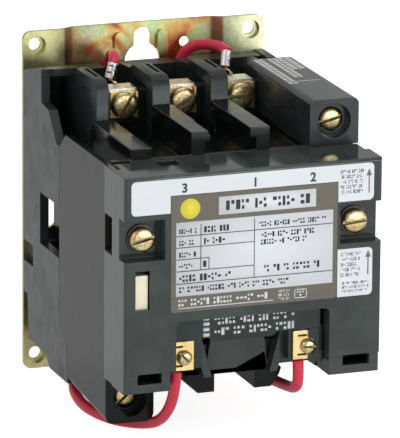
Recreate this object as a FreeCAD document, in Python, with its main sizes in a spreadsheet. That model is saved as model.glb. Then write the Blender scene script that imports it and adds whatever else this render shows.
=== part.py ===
"""Panel-mount magnetic contactor, three power poles and one auxiliary contact, on a steel plate.

Frame: X to the right, Z up, Y towards the panel. The panel is the plane Y = 0 and everything
stands in front of it, at negative Y. The origin is the centre of the four mounting holes.
Distances in front of the panel are called depths, and a depth of 10 is the plane Y = -10.
"""
import FreeCAD, Part
import math
import os
import Sketcher

# Driving dimensions, in millimetres (angles in degrees).
DIMENSIONS = {
    # mounting plate: formed sheet with its middle pressed back onto the panel
    "plate_width": 89.0,
    "plate_height": 122.0,
    "plate_sheet": 1.5,
    "plate_joggle": 2.0,
    "plate_corner": 3.0,
    "bend_inner": 25.0,
    "bend_outer": 29.0,
    "mount_across": 79.2,
    "mount_high": 111.7,
    "mount_hole": 2.2,
    "dimple_radius": 4.2,
    "keyhole_neck": 3.1,
    "keyhole_radius": 6.5,
    "keyhole_height": 47.0,
    "keyhole_top": 56.0,
    "access_radius": 6.0,
    "access_place": 37.0,
    "access_height": -4.4,
    # moulded casings
    "half_width": 44.5,
    "side_wall": 3.2,
    "shell_wall": 2.2,
    "slot_wall": 1.0,
    "back_wall_front": 11.0,
    "base_front": 43.0,
    "seam": 0.3,
    "housing_front": 91.5,
    "frame_front": 101.2,
    "cover_front": 114.0,
    "cover_half": 45.3,
    "cover_right": 46.3,
    "cover_top": 36.1,
    "skirt_bottom": -31.9,
    "foot_bottom": -38.7,
    "deck_top": 33.0,
    "corner_block": 36.4,
    "housing_bottom": -38.7,
    "base_top": 48.0,
    "divider_top": 53.5,
    "divider_front": 51.5,
    "pole_pitch": 21.2,
    "divider_thick": 3.0,
    "hood_half": 3.2,
    # terminals and contacts
    "terminal_front": 41.9,
    "strap": 1.2,
    "terminal_half": 5.0,
    "line_plate_end": 48.1,
    "load_plate_end": -48.7,
    "line_screw_height": 42.7,
    "load_screw_height": -43.8,
    "terminal_head": 4.7,
    "contact_level": 5.2,
    "tip_high": 1.0,
    "tip_radius": 1.8,
    "tip_offset": 5.5,
    "tip_depth": 39.4,
    "contact_gap": 3.3,
    # moving parts
    "travel": 4.5,
    "running_gap": 0.3,
    "carrier_half": 29.0,
    "carrier_rear": 46.0,
    "carrier_front": 52.0,
    "carrier_bottom": 6.0,
    "carrier_top": 24.0,
    "bridge_half": 7.8,
    "spring_wire": 0.3,
    # magnet
    "stack_rear": 86.0,
    "stack_front": 97.8,
    "magnet_half": 19.5,
    "limb_width": 6.0,
    "middle_limb": 5.5,
    "pole_face": 1.9,
    "yoke_bottom": -35.2,
    "yoke_high": 6.7,
    "armature_high": 7.5,
    "pin_height": 18.5,
    "pin_radius": 2.0,
    # coil
    "coil_top": 0.0,
    "coil_bottom": -25.5,
    "coil_half": 12.8,
    "flange_half": 26.3,
    "flange_rear": 104.0,
    "flange_front": 109.5,
    "flange_bottom": -22.7,
    "coil_terminal": 22.2,
    "coil_terminal_height": -29.0,
    # screws
    "cover_screw": 37.9,
    "cover_screw_height": 13.8,
    "corner_right": 37.2,
    "corner_right_height": 44.0,
    "corner_left": -35.7,
    "corner_left_height": -47.2,
    "big_shank": 2.0,
    # auxiliary block
    "block_inner": 28.5,
    "block_outer": 46.2,
    "block_rear": 30.0,
    "block_bottom": 35.6,
    "block_top": 51.7,
    # wires
    "wire_radius": 1.9,
    "groove_left": -14.5,
    "groove_right": 12.0,
    "groove_half": 2.6,
    "groove_front": 9.2,
    "label_thick": 0.25,
}


class Size:
    """A length: its present value, and the sheet expression that keeps it up to date."""

    def __init__(self, value, text):
        self.value = value
        self.text = text

    def __add__(self, other):
        other = size(other)
        return Size(self.value + other.value, f"({self.text} + {other.text})")

    def __sub__(self, other):
        other = size(other)
        return Size(self.value - other.value, f"({self.text} - {other.text})")

    def __mul__(self, factor):
        return Size(self.value * factor, f"({self.text} * {factor})")

    def __truediv__(self, factor):
        return Size(self.value / factor, f"({self.text} / {factor})")

    def __neg__(self):
        return Size(-self.value, f"(0 - {self.text})")

    def __radd__(self, other):
        return size(other) + self

    def __rsub__(self, other):
        return size(other) - self


def size(value):
    """Any number as a Size."""
    if isinstance(value, Size):
        return value
    return Size(float(value), f"({float(value):.6g})")


class Dims:
    """The sheet's dimensions by name."""

    def __init__(self, table):
        for name, value in table.items():
            setattr(self, name, Size(value, "dims." + name))


doc = FreeCAD.newDocument("contactor")
sheet = doc.addObject("Spreadsheet::Sheet", "dims")
for row, (alias, number) in enumerate(DIMENSIONS.items(), start=1):
    sheet.set(f"A{row}", alias)
    sheet.set(f"B{row}", str(number))
    sheet.setAlias(f"B{row}", alias)
doc.recompute()
d = Dims(DIMENSIONS)
nodes = []
counter = {}


def unique(stem):
    """A name for a helper object that no sub-part has."""
    counter[stem] = counter.get(stem, 0) + 1
    return f"{stem}_{counter[stem]:03d}"


def finish(item, label):
    """Name a finished sub-part and list it for export."""
    item.Label = label
    nodes.append(item)
    return item


# ---- primitives and booleans -----------------------------------------------------------------

def depths(rear, front):
    """The stretch of Y between two depths in front of the panel."""
    return (-size(front), -size(rear))


def move(item, x, y, z):
    for axis, value in zip("xyz", (x, y, z)):
        item.setExpression("Placement.Base." + axis, size(value).text)


def box(x, y, z):
    """A block between the low and high value of each axis."""
    item = doc.addObject("Part::Box", unique("block"))
    for prop, (low, high) in zip(("Length", "Width", "Height"), (x, y, z)):
        item.setExpression(prop, (size(high) - low).text)
    move(item, x[0], y[0], z[0])
    return item


def rod_forward(radius, x, z, rear, front):
    """A cylinder that stands out towards the front, from one depth to another."""
    item = doc.addObject("Part::Cylinder", unique("rod"))
    item.Placement = FreeCAD.Placement(FreeCAD.Vector(), FreeCAD.Rotation(FreeCAD.Vector(1, 0, 0), 90))
    item.setExpression("Radius", size(radius).text)
    item.setExpression("Height", (size(front) - rear).text)
    move(item, x, -size(rear), z)
    return item


def rod_up(radius, x, depth, low, high):
    """A vertical cylinder."""
    item = doc.addObject("Part::Cylinder", unique("rod"))
    item.setExpression("Radius", size(radius).text)
    item.setExpression("Height", (size(high) - low).text)
    move(item, x, -size(depth), low)
    return item


def fuse(items):
    item = doc.addObject("Part::MultiFuse", unique("fusion"))
    item.Shapes = items
    item.Refine = True
    return item


def cut(base, tools):
    item = doc.addObject("Part::Cut", unique("cut"))
    item.Base = base
    item.Tool = tools[0] if len(tools) == 1 else fuse(tools)
    item.Refine = True
    return item


def group(items):
    """Separate solids that share one sub-part."""
    item = doc.addObject("Part::Compound", unique("group"))
    item.Links = items
    return item


def slotted_screw(x, z, rear, head_rear, head_front, head_radius, shank_radius, angle):
    """A pan-head screw that points at the panel, with a driver slot turned by an angle."""
    head = rod_forward(head_radius, x, z, head_rear, head_front)
    shank = rod_forward(shank_radius, x, z, rear, head_rear)
    radius = size(head_radius).value
    width = 0.28 * radius
    deep = 0.45 * (size(head_front).value - size(head_rear).value)
    slot = doc.addObject("Part::Box", unique("slot"))
    slot.Length = 2.4 * radius
    slot.Width = 2 * deep
    slot.Height = width
    turn = FreeCAD.Rotation(FreeCAD.Vector(0, 1, 0), -angle)
    corner = turn.multVec(FreeCAD.Vector(-1.2 * radius, 0, -width / 2))
    place = FreeCAD.Vector(size(x).value, -size(head_front).value - deep, size(z).value)
    slot.Placement = FreeCAD.Placement(place + corner, turn)
    return cut(fuse([head, shank]), [slot])


def spring_up(x, depth, low, high, radius, turns):
    """A compression spring that stands upright: a wire swept along a helix."""
    wire = d.spring_wire.value
    base = FreeCAD.Vector(size(x).value, -size(depth).value, size(low).value + wire)
    tall = size(high).value - size(low).value - 2 * wire
    helix = Part.makeHelix(tall / turns, tall, radius)
    start = FreeCAD.Vector(radius, 0, 0)
    section = Part.Wire(Part.makeCircle(wire, start, FreeCAD.Vector(0, 1, 0)))
    item = doc.addObject("Part::Feature", unique("spring"))
    item.Shape = Part.Wire(helix).makePipeShell([section], True, True)
    item.Placement = FreeCAD.Placement(base, FreeCAD.Rotation())
    return item


# ---- sketched bodies -------------------------------------------------------------------------
# Views: "front" is drawn in X and Z and grows forward with depth; "side" is drawn in depth and Z
# and grows along +X; "top" is drawn in X and depth and grows along +Z.

ROLES = {"front": "XZ_Plane", "side": "YZ_Plane", "top": "XY_Plane"}


def body(name):
    return doc.addObject("PartDesign::Body", unique(name))


def fix_point(sketch, index, position, u, v):
    """Hold one point of a sketch at a place given by two sizes."""
    for kind, value in (("DistanceX", size(u)), ("DistanceY", size(v))):
        number = sketch.addConstraint(Sketcher.Constraint(kind, -1, 1, index, position, value.value))
        sketch.setExpression(f"Constraints[{number}]", value.text)


def draw_polygon(sketch, points):
    first = sketch.GeometryCount
    count = len(points)
    spots = [FreeCAD.Vector(size(u).value, size(v).value, 0) for u, v in points]
    for i in range(count):
        sketch.addGeometry(Part.LineSegment(spots[i], spots[(i + 1) % count]), False)
    for i in range(count):
        after = first + (i + 1) % count
        sketch.addConstraint(Sketcher.Constraint("Coincident", first + i, 2, after, 1))
    for i, (u, v) in enumerate(points):
        fix_point(sketch, first + i, 1, u, v)


def draw_circle(sketch, u, v, radius):
    centre = FreeCAD.Vector(size(u).value, size(v).value, 0)
    circle = Part.Circle(centre, FreeCAD.Vector(0, 0, 1), size(radius).value)
    index = sketch.addGeometry(circle, False)
    fix_point(sketch, index, 3, u, v)
    number = sketch.addConstraint(Sketcher.Constraint("Radius", index, size(radius).value))
    sketch.setExpression(f"Constraints[{number}]", size(radius).text)


def draw(owner, view, start, loops):
    """A sketch parallel to one origin plane; a loop is a list of corners or a circle (u, v, r)."""
    sketch = owner.newObject("Sketcher::SketchObject", unique("sketch"))
    plane = next(item for item in owner.Origin.OriginFeatures if item.Role == ROLES[view])
    sketch.AttachmentSupport = [(plane, "")]
    sketch.MapMode = "FlatFace"
    sketch.setExpression("AttachmentOffset.Base.z", size(start).text)
    for loop in loops:
        if isinstance(loop, tuple):
            draw_circle(sketch, *loop)
        elif view == "side":
            draw_polygon(sketch, [(-size(u), v) for u, v in loop])
        elif view == "top":
            draw_polygon(sketch, [(u, -size(v)) for u, v in loop])
        else:
            draw_polygon(sketch, loop)
    sketch.Visibility = False
    return sketch


def pad(owner, view, start, stop, *loops):
    """Add material between two planes of a view."""
    feature_sketch = draw(owner, view, start, loops)
    feature = owner.newObject("PartDesign::Pad", unique("pad"))
    feature.Profile = feature_sketch
    feature.setExpression("Length", (size(stop) - start).text)
    return feature


def pocket(owner, view, start, stop, *loops):
    """Take material away between two planes of a view."""
    feature_sketch = draw(owner, view, start, loops)
    feature = owner.newObject("PartDesign::Pocket", unique("pocket"))
    feature.Profile = feature_sketch
    feature.setExpression("Length", (size(stop) - start).text)
    feature.Reversed = True
    return feature


def rectangle(left, right, low, high):
    return [(left, low), (right, low), (right, high), (left, high)]


def round_edges(owner, radius, points):
    """Round the edges that pass through the given (x, depth, z) points."""
    doc.recompute()
    base = owner.Tip
    marks = []
    for x, depth, z in points:
        marks.append(Part.Vertex(size(x).value, -size(depth).value, size(z).value))
    names = []
    for number, edge in enumerate(base.Shape.Edges, start=1):
        if any(edge.distToShape(mark)[0] < 0.02 for mark in marks):
            names.append(f"Edge{number}")
    feature = owner.newObject("PartDesign::Fillet", unique("fillet"))
    feature.Base = (base, names)
    feature.setExpression("Radius", size(radius).text)
    return feature


# ---- places shared by several sub-parts ------------------------------------------------------

POLES = (-d.pole_pitch, size(0), d.pole_pitch)
DIVIDERS = (-d.pole_pitch * 1.5, -d.pole_pitch / 2, d.pole_pitch / 2, d.pole_pitch * 1.5)
strip_front = d.plate_sheet + d.plate_joggle
bay_half = (d.pole_pitch - d.divider_thick) / 2
inner_side = d.half_width - d.side_wall
housing_rear = d.base_front + d.seam
tip_top = d.contact_level + d.tip_high
bridge_bottom = tip_top + d.contact_gap + d.tip_high
bridge_top = bridge_bottom + d.strap
armature_bottom = d.pole_face + d.travel + 0.1
armature_top = armature_bottom + d.armature_high
spring_seat = size(-12)
BASE_SCREWS = [(side, level) for side in (POLES[0], POLES[2]) for level in (size(-30), size(30))]


def make_mounting_plate():
    plate = body("mounting_plate")
    half = d.plate_width / 2
    skew = d.plate_sheet * 0.236
    pad(plate, "top", -d.plate_height / 2, d.plate_height / 2, [
        (-half, strip_front), (-d.bend_outer, strip_front), (-d.bend_inner, d.plate_sheet),
        (d.bend_inner, d.plate_sheet), (d.bend_outer, strip_front), (half, strip_front),
        (half, d.plate_joggle), (d.bend_outer + skew, d.plate_joggle), (d.bend_inner + skew, 0),
        (-d.bend_inner - skew, 0), (-d.bend_outer - skew, d.plate_joggle), (-half, d.plate_joggle),
    ])
    corners = [(side, up) for side in (-half, half) for up in (-d.plate_height / 2, d.plate_height / 2)]
    round_edges(plate, d.plate_corner, [(x, d.plate_joggle + 0.7, z) for x, z in corners])
    holes = [(x, z) for x in (-d.mount_across / 2, d.mount_across / 2)
             for z in (-d.mount_high / 2, d.mount_high / 2)]
    for x, z in holes:
        pad(plate, "front", 0, d.plate_joggle + 0.2, (x, z, d.dimple_radius))
        pocket(plate, "front", d.plate_sheet, strip_front + 1, (x, z, d.dimple_radius - 0.8))
        pocket(plate, "front", -1, strip_front + 1, (x, z, d.mount_hole))
    # two raised tongues beside the keyhole, hollow behind
    for left, right in ((-10.7, -6.5), (5.2, 9.1)):
        middle = (left + right) / 2
        half_tongue = (right - left) / 2
        top = 58 - half_tongue
        front = d.plate_sheet + 1.6
        pad(plate, "front", d.plate_sheet - 0.2, front, rectangle(left, right, 50, top))
        pad(plate, "front", d.plate_sheet - 0.2, front, (middle, top, half_tongue))
        pocket(plate, "front", -1, front - 0.9, rectangle(left + 0.9, right - 0.9, 50.9, top))
    pocket(plate, "front", -1, 4, (0, d.keyhole_height, d.keyhole_radius))
    pocket(plate, "front", -1, 4,
           rectangle(-d.keyhole_neck, d.keyhole_neck, d.keyhole_height, d.keyhole_top))
    pocket(plate, "front", -1, 4, (0, d.keyhole_top, d.keyhole_neck))
    pocket(plate, "front", -1, 4, (15.6, 52.8, 1.85))
    for side in (-d.access_place, d.access_place):
        pocket(plate, "front", -1, 5, (side, d.access_height, d.access_radius))
    for x, z in BASE_SCREWS:
        pocket(plate, "front", -1, 4, (x, z, 1.95))
    return finish(plate, "mounting_plate")


def make_rear_base():
    base = body("rear_base")
    wall_out = d.half_width
    # back wall, with a foot under each fixing screw
    pad(base, "front", strip_front, d.back_wall_front,
        rectangle(-inner_side - 1, inner_side + 1, -47.4, d.base_top))
    for x, z in BASE_SCREWS:
        pad(base, "front", d.plate_sheet, strip_front + 1, (x, z, 3.6))
    lower_edge = [(d.base_front, -33.6), (50.9, -38), (52.5, -52.2), (32.5, -52.2), (28.5, -48.5),
                  (9.7, -47.9), (8.0, -32), (strip_front, -32), (strip_front, -20.5), (14.4, -20.5),
                  (14.4, -13), (strip_front, -13)]
    left_wall = [(strip_front, d.base_top - 0.3), (20, 52.2), (23.6, 52.2), (23.6, 40.7),
                 (31.8, 39.8), (40, 30), (d.base_front, 30)] + lower_edge
    pad(base, "side", -wall_out, -inner_side, left_wall)
    right_wall = [(strip_front, 48.4), (16, 48.4), (24, 35.4), (d.base_front, 35.4),
                  (d.base_front, -48.5), (9.7, -47.9), (8.0, -32), (strip_front, -32),
                  (strip_front, -20.5), (14.4, -20.5), (14.4, -13), (strip_front, -13)]
    pad(base, "side", inner_side, wall_out, right_wall)
    # roof over the empty left bay
    pad(base, "side", -wall_out, DIVIDERS[0], [
        (strip_front, d.base_top - 2.7), (20, 49.6), (23.6, 49.6), (23.6, 52.2), (20, 52.2),
        (strip_front, d.base_top - 0.3)])
    pad(base, "side", -wall_out + 3.6, DIVIDERS[0], [
        (23.4, 49.8), (28, 50.6), (28, 53.2), (23.4, 52.2)])
    # dividers between the poles
    tall = [(d.back_wall_front - 1, -48.5), (50, -48.5), (50, -39.4), (d.base_front, -39.2),
            (d.base_front, 35.8), (d.divider_front, 35.8), (d.divider_front, 50.3),
            (d.divider_front - 1.0, 52.5), (d.divider_front - 3.2, d.divider_top),
            (30, d.divider_top), (22, 50.3), (d.back_wall_front - 1, 49.4)]
    low = [(d.back_wall_front - 1, -48.5), (50, -48.5), (50, -39.4), (d.base_front, -39.2),
           (d.base_front, 35.2), (d.back_wall_front - 1, 35.2)]
    for middle, outline in zip(DIVIDERS, (tall, tall, tall, low)):
        pad(base, "side", middle - d.divider_thick / 2, middle + d.divider_thick / 2, outline)
    # wide heads on the two inner dividers, and a narrower one on the outer divider
    head = [(30, 49.4), (45, 49.4), (45, 35.8), (d.divider_front, 35.8), (d.divider_front, 50.3),
            (d.divider_front - 1.0, 52.5), (d.divider_front - 3.2, d.divider_top),
            (30, d.divider_top)]
    for middle, half in zip(DIVIDERS, (size(2.2), d.hood_half, d.hood_half)):
        pad(base, "side", middle - half, middle + half, head)
        pocket(base, "front", 31.5, 44, rectangle(middle + half - 2.1, middle + half - 0.9, 46, 54))
    # bars that carry the line and load terminals across each pole
    bar_front = d.terminal_front - d.strap
    for pole in POLES:
        left = pole - bay_half - 0.5
        right = pole + bay_half + 0.5
        line_right = d.block_inner - 0.2 if pole is POLES[2] else right
        pad(base, "front", bar_front - 4, bar_front, rectangle(left, line_right, 36.0, 46.7))
        pad(base, "front", bar_front - 4, bar_front, rectangle(left, right, -47.3, -36.0))
        for level in (d.line_screw_height, d.load_screw_height):
            pocket(base, "front", bar_front - 5, bar_front + 1, (pole, level, 2.1))
    # posts that take the two long corner screws
    post_rear = d.back_wall_front - 1
    post_hole = d.big_shank + 0.05
    pad(base, "front", post_rear, d.base_front - 6, (d.corner_left, d.corner_left_height + 3, 4.6))
    pocket(base, "front", 20, d.base_front, (d.corner_left, d.corner_left_height, post_hole))
    pad(base, "front", post_rear, d.block_rear - 0.2, (d.corner_right, d.corner_right_height, 3.9))
    pocket(base, "front", 20, d.block_rear, (d.corner_right, d.corner_right_height, post_hole))
    # side window, open bays behind it, wire grooves and screw holes in the back wall
    pocket(base, "side", -wall_out - 1, -inner_side + 0.5, rectangle(22.2, d.base_front + 1, -9.9, 8.4))
    for left, right in ((-inner_side, DIVIDERS[0] - d.divider_thick / 2),
                        (DIVIDERS[3] + d.divider_thick / 2, inner_side)):
        pocket(base, "front", 0, d.back_wall_front + 1, rectangle(left, right, -13, 12))
    for middle in (d.groove_left, d.groove_right):
        pocket(base, "front", 0, d.groove_front,
               rectangle(middle - d.groove_half, middle + d.groove_half, -60, 60))
    for x, z in BASE_SCREWS:
        pocket(base, "front", 0, d.back_wall_front + 1, (x, z, 2.0))
    return finish(base, "rear_base")


def make_contact_housing():
    housing = body("contact_housing")
    wall = d.shell_wall
    inside = d.half_width - wall
    deck = d.deck_top
    front = d.housing_front
    left_wall = [(housing_rear, 29.7), (49.9, 35.5), (front, 35.5), (front, d.housing_bottom),
                 (52.4, d.housing_bottom), (housing_rear, -33.6)]
    pad(housing, "side", -d.half_width, -inside, left_wall)
    pad(housing, "side", inside, d.half_width,
        [(housing_rear, d.housing_bottom), (front, d.housing_bottom), (front, 35.4),
         (housing_rear, 35.4)])
    pad(housing, "front", housing_rear, front,
        rectangle(-inside - 0.2, inside + 0.2, d.housing_bottom, d.housing_bottom + 2.5))
    pad(housing, "front", front - 3, front,
        rectangle(-inside - 0.2, inside + 0.2, d.housing_bottom, deck - 2.8),
        rectangle(-28.5, 28.5, d.housing_bottom + 2.5, 28))
    # lower left wing with the recess of the corner screw
    pad(housing, "side", -d.half_width, -27.3,
        [(51.2, -38), (front, -38), (front, d.housing_bottom), (92.5, d.housing_bottom),
         (92.5, -55.2), (52.8, -52.2)])
    round_edges(housing, 3, [(-d.half_width, 92.45, -55.2), (-27.3, 92.45, -55.2)])
    pocket(housing, "front", 50, 80, rectangle(-inside, -29.5, -50.1, d.housing_bottom - 0.2))
    pocket(housing, "front", 87.9, 95, (d.corner_left, d.corner_left_height, 6.05))
    pocket(housing, "front", 85.3, 95, (d.corner_left, d.corner_left_height, 4.2))
    pocket(housing, "front", 70, 95, (d.corner_left, d.corner_left_height, d.big_shank + 0.15))
    # two rails under the floor
    for outline in ([(-17.5, -38.9), (-7.5, -38.9), (-7.5, -45.4), (-13.5, -45.4), (-17.5, -41.6)],
                    [(7, -38.9), (16.7, -38.9), (16, -41), (13, -45.4), (7, -45.4)]):
        pad(housing, "front", 78, 98, outline)
    for left, right in ((-17.5, -7.5), (7, 16.7)):
        pad(housing, "front", 78, front, rectangle(left, right, -39.2, d.housing_bottom + 0.2))
    # the floor stops short of the base's wider side wall
    pocket(housing, "side", -inside - 0.2, -inner_side + 0.3,
           [(43, -33), (51.4, -38.2), (51.4, -39.5), (43, -39.5)])
    # guides for the contact carrier, spring seats, and bosses for the cover screws
    for sign in (-1, 1):
        outer = d.half_width * sign - wall * sign + 0.3 * sign
        stop = (d.carrier_half + d.running_gap) * sign
        lip = (d.carrier_half - 2) * sign
        seat = size(22.5 * sign)
        low_stop, high_stop = sorted((stop, outer), key=lambda edge: edge.value)
        pad(housing, "top", spring_seat, 13,
            [(low_stop, 44.2), (high_stop, 44.2), (high_stop, 53.8), (low_stop, 53.8)])
        low_lip, high_lip = sorted((lip, stop), key=lambda edge: edge.value)
        for rear, face in ((size(44.2), d.carrier_rear - d.running_gap),
                           (d.carrier_front + d.running_gap, size(53.8))):
            pad(housing, "top", spring_seat, 13,
                [(low_lip, rear), (high_lip, rear), (high_lip, face), (low_lip, face)])
        low_seat, high_seat = sorted((seat, outer), key=lambda edge: edge.value)
        pad(housing, "top", spring_seat - 3, spring_seat,
            [(low_seat, 44.2), (high_seat, 44.2), (high_seat, 53.8), (low_seat, 53.8)])
        place = d.cover_screw * sign
        pad(housing, "front", 80, front - 2, (place, d.cover_screw_height, 4.6))
        pocket(housing, "front", 79, front + 1, (place, d.cover_screw_height, d.big_shank + 0.05))
    return finish(housing, "contact_housing")


def make_contact_deck():
    """The roof of the contact housing, with a lip and the ribs between the line wires."""
    floor = body("contact_deck")
    inside = d.half_width - d.shell_wall
    deck = d.deck_top
    front = d.housing_front
    pad(floor, "side", -inside, inside,
        [(housing_rear, 27), (44.5, 27), (50.4, deck - 2.8), (front, deck - 2.8), (front, deck),
         (49.7, deck), (housing_rear, 29.8)])
    # lip along the front edge of the deck
    pad(floor, "front", front - 1.6, front, rectangle(-inside, 28, deck - 0.2, 36.3))
    # ribs that keep the line wires apart, in line with the dividers
    rib_rear = d.divider_front + d.seam
    for middle, half, top, web_left, web_right in (
            (DIVIDERS[0], 3.7, 40.0, -3.7, 3.7),
            (DIVIDERS[1], 3.4, 44.1, -3.4, 1.4),
            (DIVIDERS[2], 3.5, 44.1, -1.4, 3.5)):
        pad(floor, "front", rib_rear, front,
            rectangle(middle + web_left, middle + web_right, deck - 0.2, top - 1))
        pad(floor, "front", rib_rear, front, rectangle(middle - half, middle + half, top - 3.5, top))
    pocket(floor, "front", 76.5, front + 1,
           rectangle(DIVIDERS[1] + 2.8, DIVIDERS[1] + 4, 42.9, 45))
    # rail under the auxiliary block
    pad(floor, "front", 55, front, rectangle(d.block_inner, d.block_inner + 2.4, deck - 0.2, 35.4))
    # way up through the deck for the auxiliary plunger
    pocket(floor, "top", 20, 34, [(30.6, 46.6), (34.9, 46.6), (34.9, 51.4), (30.6, 51.4)])
    return finish(floor, "contact_deck")


def make_coil_housing():
    frame = body("coil_housing")
    outer = d.half_width + 0.3
    right = d.cover_right - 0.7
    wall = d.shell_wall
    low = d.housing_bottom
    rear = d.housing_front
    outline = rectangle(-outer, right, low, d.deck_top)
    pad(frame, "front", rear, d.frame_front, outline,
        rectangle(-outer + wall, right - wall, low + 2.4, d.deck_top - 2.2))
    pad(frame, "front", rear, rear + 2, outline, rectangle(-28.5, 28.5, low + 2.4, 28))
    # the floor steps back in the mouth; a plate stands on it in front of the yoke, with a slanting
    # strut each side
    pocket(frame, "front", 94.5, d.frame_front + 1, rectangle(-27.4, 27.6, low - 1, low + 2.6))
    pad(frame, "front", 94, 99.7, rectangle(-13.2, 13.2, low, low + 2.4))
    pad(frame, "front", 98.2, 99.7, [(-11.6, low), (11.6, low), (9.6, -25.8), (-9.6, -25.8)])
    # side walls and corner blocks that stand as high as the cover
    tall = d.deck_top - 1
    block_front = size(94.4)
    for start, stop, front in (
            (-outer, -outer + wall, d.frame_front), (right - wall, right, d.frame_front),
            (-outer + 1, -d.corner_block, block_front), (d.block_inner, right - 1, block_front)):
        pad(frame, "front", rear, front, rectangle(start, stop, tall, d.cover_top - 0.6))
    for sign in (-1, 1):
        foot = [(10.3 * sign, low + 0.2), (13.2 * sign, low + 0.2), (17 * sign, -24), (14.2 * sign, -24)]
        pad(frame, "front", 98.2, 103.4, foot)
        pocket(frame, "side", 40 * sign if sign > 0 else -46, 46 if sign > 0 else -40,
               rectangle(rear - 1, 99.5, 6.1, 19))
        pocket(frame, "front", rear - 1, rear + 3, (d.cover_screw * sign, d.cover_screw_height, 2.3))
    return finish(frame, "coil_housing")


def make_front_cover():
    cover = body("front_cover")
    half = d.cover_half
    side_right = d.cover_right
    wall = d.shell_wall
    front = d.cover_front
    inner = front - wall
    rear = d.frame_front + 0.2
    top = d.cover_top
    mouth_top = size(-14.7)
    mouth_left = size(-27.0)
    mouth_right = size(27.8)
    skirt = d.skirt_bottom
    pad(cover, "front", inner, front, [
        (-half, top), (-half, skirt), (mouth_left, skirt), (mouth_left, mouth_top),
        (mouth_right, mouth_top), (mouth_right, skirt), (side_right, skirt), (side_right, top)])
    round_edges(cover, 2, [(mouth_left, inner + 1, mouth_top), (mouth_right, inner + 1, mouth_top)])
    # top and side walls
    pad(cover, "front", 94.7, inner + 0.2, rectangle(-half + 3, side_right - 3, top - wall, top))
    pad(cover, "front", d.housing_front + 0.2, 94.8,
        rectangle(-d.corner_block + 0.2, d.block_inner - 0.2, top - wall, top))
    pocket(cover, "front", 95.4, 101.3, rectangle(-28.4, -20.9, top - wall - 1, top + 1))
    pad(cover, "front", rear, inner + 0.2, rectangle(-half, side_right, top - wall, top))
    for left, right, low in ((-half, -half + wall, d.foot_bottom),
                             (side_right - wall, side_right, d.foot_bottom),
                             (mouth_left - wall, mouth_left, skirt),
                             (mouth_right, mouth_right + wall, skirt)):
        pad(cover, "front", rear, inner + 0.2, rectangle(left, right, low, -14 if low is skirt else top))
    # a hollow foot each side, with a slot in its front
    for left, right, slot in ((-half, -half + 16.6, (-40.3, -31.7)),
                              (side_right - 18.2, side_right - 0.3, (33.1, 42.7))):
        pad(cover, "front", rear, front - 1, rectangle(left, right, d.foot_bottom, skirt + 0.4))
        pocket(cover, "front", rear - 1, front - 1 - wall,
               rectangle(left + wall, right - wall, d.foot_bottom + wall, skirt + 0.5))
        pocket(cover, "front", inner - 4, front + 1, rectangle(slot[0], slot[1], -35.8, -32.1))
    # recess for each cover screw, open to the side
    for sign, side in ((-1, -half), (1, side_right)):
        edge = side + sign
        step = size(31.1 * sign)
        wall_side = size(29.6 * sign)
        low_side, high_side = sorted((wall_side, side), key=lambda item: item.value)
        low_edge, high_edge = sorted((step, edge), key=lambda item: item.value)
        pad(cover, "front", 106, inner + 0.2, rectangle(low_side, high_side, 5.5, 22.7))
        pad(cover, "front", rear, 106.2, (d.cover_screw * sign, d.cover_screw_height, 4.6))
        pocket(cover, "front", 108.2, front + 1, rectangle(low_edge, high_edge, 7.2, 21.2))
        pocket(cover, "front", rear - 1, front, (d.cover_screw * sign, d.cover_screw_height, 2.3))
    # slot that shows the indicator, in a thinner part of the wall
    pocket(cover, "front", inner - 1, front + 1, rectangle(-41.5, -36.4, -9.5, 3.9))
    pocket(cover, "front", inner - 1, front - d.slot_wall, rectangle(-42.2, -35.9, -15.1, 4.3))
    round_edges(cover, 1.1, [(0, front, top), (-half, front, 28), (side_right, front, 28),
                             (-half, front, -15), (side_right, front, -15)])
    return finish(cover, "front_cover")


def make_labels():
    front = d.cover_front
    back = front + d.label_thick
    plate = box((-29.1, 30.1), depths(front, back), (-11.3, 28.9))
    finish(plate, "rating_nameplate")
    top = body("terminal_label")
    pad(top, "front", front, back, [
        (-43.1, 23.1), (-29.3, 23.1), (-29.3, 29.1), (30.3, 29.1), (30.3, 21.9), (43.1, 21.9),
        (43.1, 34.8), (-43.1, 34.8)])
    finish(top, "terminal_label")
    finish(box((30.3, 42.9), depths(front, back), (-11.2, 5.4)), "coil_notice_label")


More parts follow.
